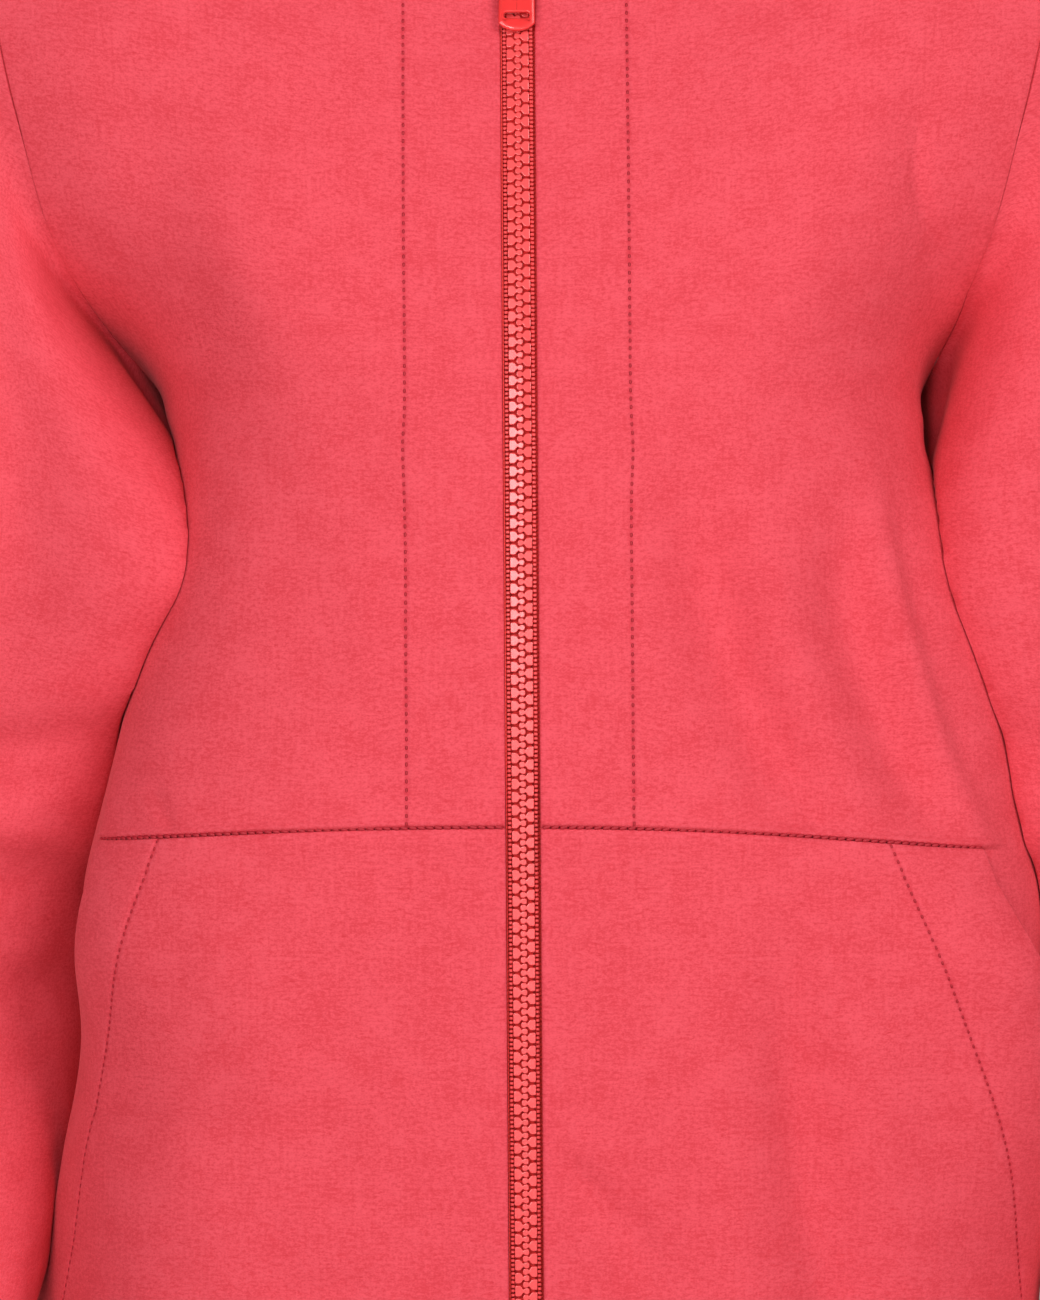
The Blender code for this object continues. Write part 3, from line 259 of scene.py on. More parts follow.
CREASE_ROWS = {
    "front": (
        (0.054, -0.286, 0.098, -0.410, 0.06, 0.0090, -0.0020),
        (0.070, -0.290, 0.110, -0.404, 0.06, 0.0100, 0.0018),
        (0.104, -0.300, 0.138, -0.412, 0.05, 0.0090, -0.0020),
        (0.088, -0.445, 0.110, -0.600, 0.04, 0.0070, -0.0016),
        (0.084, -0.383, 0.099, -0.412, 0.05, 0.0030, -0.0010),
        (0.073, -0.378, 0.083, -0.408, 0.05, 0.0034, -0.0007),
        (0.116, -0.296, 0.151, -0.414, 0.03, 0.0030, 0.0010),
        (0.122, -0.296, 0.158, -0.410, 0.03, 0.0060, -0.0016),
        (0.088, -0.300, 0.108, -0.360, 0.03, 0.0110, -0.0010),
        (0.131, -0.178, 0.162, -0.246, 0.16, 0.0022, -0.0010),
        (0.136, -0.178, 0.167, -0.242, 0.16, 0.0034, 0.0006),
        (-0.120, -0.394, -0.112, -0.412, 0.00, 0.0024, -0.0008),
        (0.012, -0.513, 0.029, -0.538, -0.05, 0.0026, -0.0016),
        (0.016, -0.509, 0.036, -0.537, -0.05, 0.0050, 0.0011),
        (0.142, -0.431, 0.156, -0.426, 0.05, 0.0018, -0.0006),
        (-0.082, -0.560, -0.046, -0.557, 0.06, 0.0060, -0.0020),
        (-0.090, -0.575, -0.040, -0.570, 0.04, 0.0080, 0.0012),
        (-0.106, -0.326, -0.090, -0.342, 0.00, 0.0022, 0.0004),
        (0.062, -0.205, 0.050, -0.262, 0.04, 0.0160, -0.0007),
        (-0.060, -0.300, -0.078, -0.372, 0.04, 0.0180, -0.0006),
        (0.022, -0.300, 0.026, -0.400, 0.02, 0.0100, -0.0005),
        (0.098, -0.470, 0.116, -0.560, 0.05, 0.0060, -0.0012),
        (0.076, -0.452, 0.090, -0.560, 0.03, 0.0060, 0.0007),
        (-0.050, -0.440, -0.062, -0.540, 0.03, 0.0180, -0.0008),
        (-0.085, -0.600, -0.020, -0.622, 0.10, 0.0070, -0.0014),
        (0.050, -0.628, 0.120, -0.610, 0.10, 0.0070, -0.0014),
    ),
    "back": (
        (-0.080, -0.285, -0.030, -0.330, 0.08, 0.0060, -0.0016),
        (0.085, -0.295, 0.028, -0.345, -0.08, 0.0060, -0.0016),
        (-0.045, -0.330, 0.040, -0.352, 0.12, 0.0070, -0.0018),
        (-0.055, -0.345, 0.052, -0.372, 0.10, 0.0060, 0.0012),
        (-0.110, -0.450, -0.090, -0.600, 0.04, 0.0120, -0.0018),
        (0.105, -0.440, 0.088, -0.600, -0.04, 0.0120, -0.0018),
        (-0.040, -0.470, -0.052, -0.610, 0.03, 0.0140, 0.0012),
        (-0.060, -0.090, -0.105, -0.130, 0.05, 0.0090, -0.0014),
        (0.060, -0.090, 0.105, -0.130, -0.05, 0.0090, -0.0014),
        (-0.030, -0.180, 0.030, -0.190, 0.10, 0.0100, -0.0008),
    ),
}

# Long, shallow swells all over the cloth: each is its waves to the metre across and up, phase and height.
# They start in the back and the sleeves at other places, and fade out beside the zip.
SWELLS_PAST_ZIP, SWELLS_BACK, SWELLS_SLEEVE = (0.006, 0.05), 0.5, 1.3
SWELLS = (
    (11.0, 5.0, 0.6, 0.00022),
    (-7.0, 13.0, 2.1, 0.00018),
    (23.0, -9.0, 4.0, 0.00012),
    (17.0, 21.0, 1.3, 0.00008),
    (-31.0, 12.0, 5.2, 0.00006),
)

SLEEVE_FOLD_COLUMNS = ("down", "round", "rise", "half_down", "half_round", "height")
SLEEVE_FOLD_ROWS = (
    (0.42, 0.20, 0.10, 0.030, 0.16, -0.0050),
    (0.52, 0.24, -0.08, 0.026, 0.17, -0.0045),
    (0.62, 0.22, 0.07, 0.026, 0.15, -0.0038),
    (0.36, 0.72, -0.08, 0.032, 0.16, -0.0040),
    (0.80, 0.30, 0.09, 0.026, 0.18, -0.0034),
    (0.88, 0.66, -0.06, 0.024, 0.18, -0.0032),
)
SLEEVE_CREASE_ROWS = (
    (0.455, 0.23, 0.16, 0.010, 0.12, -0.0014),
    (0.485, 0.16, -0.12, 0.012, 0.10, 0.0012),
    (0.570, 0.27, 0.10, 0.011, 0.12, -0.0013),
    (0.600, 0.14, -0.16, 0.010, 0.08, -0.0010),
    (0.660, 0.30, 0.12, 0.012, 0.13, -0.0011),
    (0.300, 0.36, 0.30, 0.014, 0.09, -0.0011),
    (0.220, 0.24, 0.45, 0.018, 0.08, -0.0010),
    (0.400, 0.66, 0.12, 0.011, 0.12, -0.0012),
    (0.500, 0.78, -0.10, 0.014, 0.12, -0.0014),
    (0.740, 0.20, -0.10, 0.012, 0.14, -0.0012),
    (0.845, 0.22, 0.12, 0.010, 0.14, -0.0013),
    (0.915, 0.36, -0.10, 0.010, 0.15, -0.0012),
    (0.760, 0.70, 0.10, 0.014, 0.15, -0.0014),
    (0.940, 0.80, 0.08, 0.010, 0.12, -0.0010),
)

# The jersey's marks: marks to the metre across and up, detail, roughness, and share of the mottle.
KNIT_MARKS = {
    "grain": (1500, 2000, 1.0, 0.5, 0.20),
    "speck": (640, 860, 2.0, 0.6, 0.26),
    "streak": (230, 980, 2.0, 0.6, 0.16),
    "dash": (420, 1500, 1.0, 0.5, 0.10),
    "cloud": (52, 80, 4.0, 0.65, 0.20),
    "wale": (760, 70, 1.0, 0.5, 0.08),
}
KNIT_HEIGHTS = {"speck": 0.00007, "streak": 0.00003, "cloud": 0.00012}
LOOP_HEIGHT, REVERSE_LOOP_HEIGHT, KNIT_RELIEF = 0.00006, 0.00010, 0.8
MOTTLE_RANGE = (0.41, 0.59)
FLECK_MARKS, FLECK_RANGE, FLECK_STRENGTH = {"dash": 0.6, "streak": 0.4}, (0.37, 0.30), 0.5
# Along the stitching the jersey's colour turns towards the thread's as painted shade in the groove, and its
# relief dips.
LINE_PAINTED_SHADE_WIDTH, LINE_PAINTED_SHADE, LINE_DIP_WIDTH, LINE_DIP = 0.0007, 0.30, 0.0010, 0.00028  # at the stitching

# How high the other finishes' marks stand: thread, tape, moulded plastic and lacquer.
TWIST_HEIGHT, RIB_HEIGHT, YARN_HEIGHT, FLOW_HEIGHT, PEEL_HEIGHT = 0.00001, 0.00012, 0.00005, 0.00002, 0.00005

MOUTH_COLUMN, FRONT_COLUMNS = 9, 12
FRONT_COLUMN_WIDTH, POCKET_COLUMN_WIDTH, BACK_HALF_WIDTH, SLEEVE_DROP = 0.0195, 0.0205, 0.23, 0.53  # about
STEP_V, STEP_U, STEP_DOWN = 0.0015, 0.01, 0.05
EASE_TAPS = ((-0.028, 0.10), (-0.014, 0.22), (0.0, 0.36), (0.014, 0.22), (0.028, 0.10))
EASE_REACH, EASE_ENDS = 0.040, (0.72, 0.96)

# How finely the cloth is divided, and how its edges turn in: how wide the turn is, and how deep.
FRONT_STEP, BACK_STEP, SLEEVE_STEP, POCKET_STEP, BAND_STEP = 0.0026, 0.0040, 0.0033, 0.0023, 0.0030
EDGE_STEPS = np.array([0.0, 0.0003, 0.0008, 0.0015, 0.0026])
SEAM_TURN = (0.0024, 0.0009)
ARMHOLE_TURN = (0.0020, 0.00025)
FOLD_TURN = (0.0014, 0.0011)
ZIP_TURN = (0.0012, 0.0006)
UNDERARM_TURN = (0.0016, 0.0005)
LEAST_WALL = 0.0003
FLAT_RIM = 0.00006  # a plate's top is flat from this far in
REST_GAP, REST_WITHIN, REST_ASIDE = 0.0006, 0.030, 0.0080  # a sleeve rests against the body
REST_ROUND, REST_DOWN = (-0.2, 0.1), (0.04, 0.10)  # where it starts to, round the sleeve and down it

# The moulded shapes' own sizes. The slider's outline is in shares of half its width and of its length.
SLIDER_OUTLINE = (
    (0.60, 0.0), (0.74, 0.012), (0.80, 0.06), (0.90, 0.28), (0.985, 0.46), (1.0, 0.56), (0.985, 0.70),
    (0.95, 0.82), (0.88, 0.91), (0.74, 0.975), (0.55, 1.0),
)
TOOTH_OUTER, TOOTH_INNER, TOOTH_TIP, TOOTH_WAIST = -0.0036, -0.0013, 0.00105, 0.00058
TOOTH_BELOW, TOOTH_BEVEL = 0.00012, 0.00020
COMB_FOOT, COMB_FOOT_AT, COMB_FOOT_BELOW = (0.00060, 0.00044), 0.00070, 0.0006
COMB_FOOT_UPS, COMB_FOOT_CORNER, COMB_FOOT_BEVEL = (-0.0014, 0.0, 0.0014), 0.0002, 0.0003
CORD_STEP, CORD_HALF = 0.002, ((0.0015, -0.0016), (0.0029, -0.0018), (0.0030, -0.0020))
ROW_BELOW_POST = 0.002  # the teeth end here
BOX_CORNER, BOX_BEVEL, BOX_RIB_PROUD = 0.0012, 0.0004, 0.0003
BOX_RIB = {"half": 0.62, "foot": -0.36, "head": 0.30, "corner": 0.0008, "bevel": 0.0003}
STOP_CORNER, STOP_BEVEL = 0.0004, 0.0003
SLIDER_BEVEL, SLIDER_DROP = 0.0007, 0.0006
SLIDER_BACK, SLIDER_BACK_SHARE, SLIDER_BACK_BEVEL = 0.0014, 0.85, 0.0001
SLIDER_BITE = 0.0002  # the post and the lugs reach this far or more into the plates
POST_CORNER, POST_BELOW_HEAD, SHARP_BEVEL = 0.0003, 0.0005, 0.00005
LUG_CORNER, LUG_BEVEL, LUG_BITE = 0.0004, 0.0004, 0.0005
TAB_BEVEL, SLOT_BEVEL, TAB_EDGE_STEPS = (0.0017, 0.00062), (0.0007, 0.0004), 5
TAB_POINTS, TAB_SMOOTHINGS = 192, 60
TAB_BOW_POWER, TAB_FLARE, TAB_SHOULDER_SHARE, TAB_NECK_DROP = 2.4, 0.001, 0.93, 0.0035

# The studio: the middle of what the picture takes in, and where each light is and its two sides.
FLOOR_HALF, PICTURE_MIDDLE, SENSOR_WIDTH = 6.0, (0.0, -0.115, -0.352), 36.0
FLOOR_COLOUR, ROOM_COLOUR = (0.80, 0.79, 0.78), (1.0, 0.985, 0.98, 1.0)
LIGHTS = (
    ("key", (1.60, -2.15, 0.85), (1.5, 1.5)),
    ("fill", (-1.30, -2.50, 0.35), (1.2, 1.4)),
    ("front", (-0.41, -2.98, 0.10), (0.50, 0.92)),
    ("low", (0.41, -2.98, -0.40), (0.40, 0.46)),
    ("rear", (-1.10, 2.70, 1.50), (2.0, 2.0)),
)

# ---------------------------------------------------------------- curves


class Track:
    """A smooth curve through a table's column. It may have a corner at each v in corners."""

    def __init__(self, v, values, corners=()):
        self.v, self.values = np.array(v, float), np.array(values, float)
        self.leaving = np.array([self.slope(i, False, corners) for i in range(len(self.v))])
        self.arriving = np.array([self.slope(i, True, corners) for i in range(len(self.v))])

    def slope(self, i, arriving, corners):
        """The curve's slope at row i, as it arrives there or as it leaves."""
        corner = self.v[i] in corners
        a = i if i == 0 or (corner and not arriving) else i - 1
        b = i if i == len(self.v) - 1 or (corner and arriving) else i + 1
        if a == b:  # no curve reads the far side of a corner in an end row
            return 0.0
        return (self.values[b] - self.values[a]) / (self.v[b] - self.v[a])

    def at(self, v):
        i = np.searchsorted(self.v[1:-1], v, side="left")
        span = self.v[i + 1] - self.v[i]
        t = (v - self.v[i]) / span
        return hermite(
            t, self.values[i], self.leaving[i] * span, self.values[i + 1], self.arriving[i + 1] * span
        )


def hermite(t, start, leave, end, arrive):
    t2, t3 = t * t, t * t * t
    return (
        (2 * t3 - 3 * t2 + 1) * start + (t3 - 2 * t2 + t) * leave
        + (3 * t2 - 2 * t3) * end + (t3 - t2) * arrive
    )


def tracks(columns, rows, corners):
    """One Track for each column but the first, by name."""
    table = np.array(rows, float)
    return {
        name: Track(table[:, 0], table[:, k], corners.get(name, ()))
        for k, name in enumerate(columns)
        if k
    }


NECK_ENDS = ((NECK_FRONT_V, True), (NECK_BACK_V, False))
ARMHOLE_ENDS = ((FRONT_UNDERARM_V, True), (BACK_UNDERARM_V, False))
CENTRE = tracks(
    CENTRE_COLUMNS, CENTRE_ROWS, {name: (NECK_FRONT_V, NECK_BACK_V) for name in ("x", "y", "z")}
)
SIDE = tracks(
    SIDE_COLUMNS, SIDE_ROWS,
    {name: (FRONT_UNDERARM_V, BACK_UNDERARM_V) for name in ("x_right", "x_left", "y", "z")},
)
ARM = tracks(ARM_COLUMNS, ARM_ROWS, {})
SETTLE = tracks(SETTLE_COLUMNS, SETTLE_ROWS, {})


def smooth(x, low, high):
    """0 below low, 1 above high, and smooth between."""
    t = np.clip((x - low) / (high - low), 0, 1)
    return t * t * (3 - 2 * t)


def bell(x, half_width):
    return np.exp(-((x / half_width) ** 2))


def unit(vectors):
    return vectors / np.maximum(np.linalg.norm(vectors, axis=-1, keepdims=True), 1e-12)


def blend_of(a, b, share):
    return a + (b - a) * np.asarray(share)[..., None]


def stations(low, high, step, scale=1.0):
    """Places from low to high, about a step apart and closer together at both ends.

    scale is how much of the range a metre is."""
    start, end = low + EDGE_STEPS * scale, high - EDGE_STEPS[::-1] * scale
    count = max(2, round((end[0] - start[-1]) / (step * scale)))
    return np.concatenate([start, np.linspace(start[-1], end[0], count + 1)[1:-1], end])


# ---------------------------------------------------------------- the body's form


def lean_at(z):
    return ZIP_LEAN * (ZIP_LEAN_FROM_Z - z)


def body_form(v, u, side):
    """Points of the bare form, before its folds. v and u are arrays of the same shape."""
    v, u = np.broadcast_arrays(np.asarray(v, float), np.asarray(u, float))
    centre = {name: track.at(v) for name, track in CENTRE.items()}
    down_back = v > BACK_UNDERARM_V
    rim_v = np.where(down_back, BACK_HEM_V - v, v)
    x, y, z, turn = (SIDE[name].at(rim_v) for name in ("x_" + side, "y", "z", "turn_" + side))
    opening = np.where(v < SHOULDER_V, ZIP_OPENING / 2, 0)
    lean = lean_at(np.minimum(centre["z"], NECK_FRONT_Z)) * (1 - smooth(v, *LEAN_FADES)) * SIDES[side]
    beside_zip = opening + centre["x"] * (1 - opening / NECK_X)
    across_neck = np.where(v < NECK_X_V, beside_zip, np.maximum(centre["x"], opening))
    start = np.stack([across_neck + lean, centre["y"], centre["z"]], -1)
    end = np.stack([x, y, z], -1)
    lead, turn = np.radians(centre["lead"]), np.radians(turn - 180 * down_back)
    across, deep = end[..., 0] - start[..., 0], np.abs(end[..., 1] - start[..., 1])
    reach = np.abs(np.sin(turn)) * deep + np.abs(np.cos(turn)) * across
    level = np.zeros_like(lead)
    first_way = np.stack([np.cos(lead), np.sin(lead), level], -1)
    last_way = np.stack([np.cos(turn), np.sin(turn), level], -1)
    second = start + first_way * (centre["near_pull"] * across)[..., None]
    third = end - last_way * (centre["far_pull"] * reach)[..., None]
    drop = (end[..., 2] - start[..., 2]) * (1 - np.minimum(1, deep / across)) / 3
    second[..., 2] += drop
    third[..., 2] -= drop
    u = u[..., None]
    s = 1 - u
    points = start * s**3 + second * (3 * s * s * u) + third * (3 * s * u * u) + end * u**3
    points[..., 0] *= SIDES[side]
    return points


def eased_form(v, u, side):
    """The bare form with the kink that its tables have level with the underarm eased out."""
    parts = [share * body_form(np.clip(v + away, 0, BACK_HEM_V), u, side) for away, share in EASE_TAPS]
    share = bell(v - FRONT_UNDERARM_V, EASE_REACH) * (1 - smooth(u, *EASE_ENDS))
    return blend_of(body_form(v, u, side), sum(parts), share)


def fold_height(x, z, face):
    """How far the folds and creases lift the cloth at points seen from the front or the back."""
    total = np.zeros_like(x)
    for row in FOLD_ROWS[face] + CREASE_ROWS[face]:
        fold = dict(zip(FOLD_COLUMNS, row))
        ax, az = fold["x1"] - fold["x0"], fold["z1"] - fold["z0"]
        length = math.hypot(ax, az)
        along = ((x - fold["x0"]) * ax + (z - fold["z0"]) * az) / length**2
        aside = ((x - fold["x0"]) * az - (z - fold["z0"]) * ax) / length
        aside = aside - fold["bow"] * length * 4 * along * (1 - along)
        ends = smooth(along, *FOLD_STARTS) * (1 - smooth(along, *FOLD_ENDS))
        total += fold["height"] * ends * bell(aside, fold["half_width"])
    return total


def swell(across, up):
    """The cloth's long shallow swells, by where a point is on the cut piece."""
    return sum(h * np.cos(2 * math.pi * (a * across + b * up) + c) for a, b, c, h in SWELLS)


def around(v, corners):
    """Heights either side of v that don't reach past a corner."""
    low, high = np.maximum(0, v - STEP_V), np.minimum(BACK_HEM_V, v + STEP_V)
    for corner, in_lower in corners:
        below = v <= corner if in_lower else v < corner
        high = np.where(below, np.minimum(high, corner), high)
        low = np.where(below, low, np.maximum(low, corner))
    return low, high


def body_points(v, u, side):
    """Points of the cloth's outer face with their outward directions, folds included."""
    v, u = np.broadcast_arrays(np.asarray(v, float), np.asarray(u, float))
    points = eased_form(v, u, side)
    low_neck, high_neck = around(v, NECK_ENDS)
    low_arm, high_arm = around(v, ARMHOLE_ENDS)
    outer = u > 0.5
    up = body_form(np.where(outer, high_arm, high_neck), u, side)
    up -= body_form(np.where(outer, low_arm, low_neck), u, side)
    across = body_form(v, np.minimum(1, u + STEP_U), side)
    across -= body_form(v, np.maximum(0, u - STEP_U), side)
    outs = np.cross(across, up) * SIDES[side]
    outs[..., 0] = np.where((u == 0) & (v >= NECK_BACK_V), 0, outs[..., 0])
    outs = unit(outs)
    face = "front" if v.flat[0] < SHOULDER_V else "back"
    lift = fold_height(points[..., 0], points[..., 2], face)
    lift *= smooth(np.abs(outs[..., 1]), *FOLD_FACING)
    return points + outs * lift[..., None], outs


def share_of_arc(v, arc, side, steps=60):
    """The shares u at which strips of the bare form have run that far from the zip's middle line."""
    line = body_form(v[:, None], np.linspace(0, 1, steps + 1), side)
    lengths = ZIP_OPENING / 2 + run(line, 1)
    shares = np.linspace(0, 1, steps + 1)
    return np.array([np.interp(a, row, shares) for a, row in zip(arc, lengths)]), lengths[:, -1]


def run(points, axis):
    """Distances along the rows (axis 1) or up the columns (axis 0) of a grid of points."""
    steps = np.linalg.norm(np.diff(points, axis=axis), axis=2)
    zero = np.zeros_like(np.take(steps, [0], axis=axis))
    return np.concatenate([zero, np.cumsum(steps, axis=axis)], axis=axis)


def mouth_arc(v):
    return POCKET_CORNER_ARC + POCKET_MOUTH_SLOPE * np.maximum(0, POCKET_TOP_V - v)


def mouth_table(side):
    """The share u of the pocket's outer edge, for a row of heights v."""
    v = np.linspace(0, SHOULDER_V, 661)
    slanted, total = share_of_arc(v, mouth_arc(v), side)
    near_seam, _ = share_of_arc(v, total - POCKET_SEAM_ALLOWANCE, side)
    level = MOUTH_COLUMN / FRONT_COLUMNS
    held = np.minimum(slanted, near_seam)
    return v, held + (level - held) * smooth(v, POCKET_TOP_V, FRONT_UNDERARM_V)


def front_place(w, column, side, table):
    """The v and u at which a column of the front crosses the strip numbered w."""
    inner = column <= MOUTH_COLUMN
    across = np.where(
        inner, smooth(column, 0, MOUTH_COLUMN * DROOP_REACH), 1 - smooth(column, MOUTH_COLUMN, FRONT_COLUMNS)
    )
    along = np.minimum(w / POCKET_TOP_V, 1 - smooth(w, POCKET_TOP_V, FRONT_UNDERARM_V))
    v = w - POCKET_DROOP[side] * across * along
    mouth = np.interp(v, *table)
    past = (column - MOUTH_COLUMN) / (FRONT_COLUMNS - MOUTH_COLUMN)
    return v, np.where(inner, mouth * column / MOUTH_COLUMN, mouth + (1 - mouth) * past)


# ---------------------------------------------------------------- cloth


class Cloth:
    """A panel of cloth as one grid: its outer face's points, their outward directions, where each
    is on the cut piece, and up to three distances from its lines of stitching."""

    def __init__(self, points, outs, across, up, lines=()):
        self.points, self.outs, self.across, self.up = points, outs, across, up
        self.sunk = np.zeros(across.shape)
        far = np.full(across.shape, 1.0)
        self.lines = [np.broadcast_to(line, across.shape) for line in lines] + [far] * (3 - len(lines))

    def lift(self, height):
        self.points = self.points + self.outs * np.asarray(height)[..., None]

    def turn_edges(self, **turns):
        """Turns edges in, one after another, as a seam or a fold does: top, foot, first or last."""
        for edge, (width, depth) in turns.items():
            axis = 0 if edge in ("top", "foot") else 1
            distance = run(self.points, axis)
            if edge in ("top", "last"):
                distance = np.take(distance, [-1], axis=axis) - distance
            near = np.clip(1 - distance / width, 0, 1)
            sink = depth * (1 - np.sqrt(1 - near**2))
            self.sunk = self.sunk + sink
            self.lift(-sink)

    def trace(self, line):
        """The line of stitching numbered line, as points and outward directions along it."""
        field = self.lines[line]
        crossings = np.abs(np.diff(np.sign(field), axis=1)).sum()
        across = crossings >= np.abs(np.diff(np.sign(field), axis=0)).sum()
        points, outs = self.points, self.outs
        if not across:
            field, points, outs = field.T, points.swapaxes(0, 1), outs.swapaxes(0, 1)
        found = []
        for values, place, out in zip(field, points, outs):
            turns = np.nonzero(values[:-1] * values[1:] < 0)[0]
            if len(turns):
                i = turns[0]
                t = values[i] / (values[i] - values[i + 1])
                found.append((place[i] + (place[i + 1] - place[i]) * t, out[i]))
        return np.array([p for p, _ in found]), np.array([o for _, o in found])


def grid_faces(numbers):
    return np.stack(
        [numbers[:-1, :-1], numbers[:-1, 1:], numbers[1:, 1:], numbers[1:, :-1]], -1
    ).reshape(-1, 4)


def facing_out(faces, points, outs):
    """The faces, turned to face the way that the cloth does."""
    normals = np.cross(points[faces[:, 2]] - points[faces[:, 0]], points[faces[:, 3]] - points[faces[:, 1]])
    return faces[:, ::-1] if (normals * outs[faces[:, 0]]).sum() < 0 else faces


def rim_of(faces, count):
    """The edges that only one face has, in that face's order."""
    edges = np.concatenate([faces[:, [k, (k + 1) % 4]] for k in range(4)])
    keys = edges.min(axis=1) * count + edges.max(axis=1)
    _, first, times = np.unique(keys, return_index=True, return_counts=True)
    return edges[first[times == 1]]


def wall_of(name, panels, thickness, weld_from=None):
    """Panels as one closed piece of cloth, and which of its faces are the reverse. Two panels are joined
    up their first columns, from row weld_from."""
    points = np.concatenate([panel.points.reshape(-1, 3) for panel in panels])
    outs = np.concatenate([panel.outs.reshape(-1, 3) for panel in panels])
    place = np.concatenate(
        [np.stack([panel.across, panel.up, 0 * panel.up], -1).reshape(-1, 3) for panel in panels]
    )
    lines = np.concatenate([np.stack(panel.lines, -1).reshape(-1, 3) for panel in panels])
    faces, start, numbers = [], 0, []
    for panel in panels:
        shape = panel.across.shape
        numbers.append(start + np.arange(shape[0] * shape[1]).reshape(shape))
        start += shape[0] * shape[1]
    if weld_from is not None:
        numbers[1][weld_from:, 0] = numbers[0][weld_from:, 0]
    faces = np.concatenate([facing_out(grid_faces(n), points, outs) for n in numbers])
    used, flat = np.unique(faces, return_inverse=True)
    faces = flat.reshape(-1, 4)
    points, outs, place, lines = points[used], outs[used], place[used], lines[used]
    count = len(points)
    thick = np.concatenate(
        [np.maximum(LEAST_WALL, t - panel.sunk).reshape(-1) for t, panel in zip(thickness, panels)]
    )[used]
    inner = points - outs * thick[:, None]
    rim = rim_of(faces, count)
    sides = np.stack([rim[:, 1], rim[:, 0], rim[:, 0] + count, rim[:, 1] + count], -1)
    every = np.concatenate([faces, faces[:, ::-1] + count, sides])
    made = mesh_object(name, np.concatenate([points, inner]), every.tolist())
    for key, values in (("cloth", place), ("lines", lines)):
        attribute = made.data.attributes.new(key, "FLOAT_VECTOR", "POINT")
        attribute.data.foreach_set("vector", np.concatenate([values, values]).astype(np.float32).ravel())
    reverse = np.zeros(len(every), int)
    reverse[len(faces):2 * len(faces)] = 1
    return made, reverse


def mesh_object(name, points, faces, sharp=50):
    """A smooth mesh in the scene. Its edges are sharp past that many degrees, or nowhere if sharp is None."""
    mesh = bpy.data.meshes.new(name)
    mesh.from_pydata(np.asarray(points).tolist(), [], faces)
    mesh.shade_smooth()
    if sharp is not None:
        mesh.set_sharp_from_angle(angle=math.radians(sharp))
    made = bpy.data.objects.new(name, mesh)
    bpy.context.scene.collection.objects.link(made)
    return made


def dress(made, materials, node=None, body="garment", reverse=None):
    """Gives a piece its materials, and ties it to the frame."""
    for material in materials:
        made.data.materials.append(material)
    if reverse is not None:
        made.data.polygons.foreach_set("material_index", reverse.astype(np.int32))
    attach(made, body)
    if node:
        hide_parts(node)
    return made


def parted(points, beside, ways, outs):
    """Edge points held half a seam gap back from the seam."""
    inwards = unit(np.cross(ways, outs))
    flip = ((inwards * (beside - points)).sum(-1) < 0)[..., None]
    return points + np.where(flip, -inwards, inwards) * SEAM_GAP / 2


def part_panel(cloth, v_edge, side, shoulder, beside):
    """Holds a panel back from its side edge and its shoulder seam."""
    low, high = around(v_edge, ARMHOLE_ENDS)
    ways = body_form(high, np.ones_like(high), side) - body_form(low, np.ones_like(low), side)
    points, outs = cloth.points, cloth.outs
    points[:, -1] = parted(points[:, -1], points[:, -4], ways, outs[:, -1])
    seam = np.gradient(points[shoulder], axis=0)
    points[shoulder] = parted(points[shoulder], points[beside], seam, outs[shoulder])


# ---------------------------------------------------------------- the panels


def front_cloth(side):
    """A front's outer face, and how thick it is."""
    ridge = POCKET_TOP_V + SEAM_ROWS
    w = np.concatenate([
        stations(0, POCKET_TOP_V, FRONT_STEP)[:-1], ridge, stations(ridge[-1], SHOULDER_V, FRONT_STEP)[1:]
    ])[:, None]
    column = stations(0, FRONT_COLUMNS, FRONT_STEP, 1 / FRONT_COLUMN_WIDTH)[None, :]
    v, u = front_place(w, column, side, mouth_table(side))
    above = w - POCKET_TOP_V
    past_pocket = smooth(column, MOUTH_COLUMN - UNDER_POCKET_SIDE, MOUTH_COLUMN)
    shown = np.maximum(smooth(above, *UNDER_POCKET_TOP), past_pocket)
    points, outs = body_points(v, u, side)
    arc = ZIP_OPENING / 2 + run(body_form(v, u, side), 1)
    neck = np.maximum(0, CENTRE["x"].at(np.maximum(v, NECK_FRONT_V)) - ZIP_OPENING / 2)
    from_zip = arc + neck
    facing_line = np.where(above > -FACING_EDGE, from_zip - FACING_ARC[side], 1.0)
    cloth = Cloth(points, outs, from_zip, v, [facing_line, v - HEM_DEPTH])
    part_panel(cloth, w[:, 0], side, -1, -4)
    beside_pocket = 1 - smooth(column, MOUTH_COLUMN, MOUTH_COLUMN + 0.5)
    rise = SEAM_SWELL * smooth(above, *SEAM_SWELL_RISES) * (1 - smooth(above, *SEAM_SWELL_FALLS))
    rise = rise + SEAM_RIDGE * bell(above - SEAM_RIDGE_AT, SEAM_RIDGE_HALF)
    swells = swell(from_zip, v) * smooth(arc, *SWELLS_PAST_ZIP)
    cloth.lift(np.where(above > 0, rise * beside_pocket, 0) + swells)
    cloth.lift(-UNDER_POCKET * (1 - shown) * smooth(arc, *UNDER_POCKET_ZIP))
    cloth.turn_edges(first=ZIP_TURN, last=ARMHOLE_TURN, top=SEAM_TURN, foot=FOLD_TURN)
    facing = 1 - smooth(arc, FACING_ARC[side] - FACING_EDGE, FACING_ARC[side] + FACING_EDGE)
    return cloth, CLOTH + FACING_CLOTH * facing


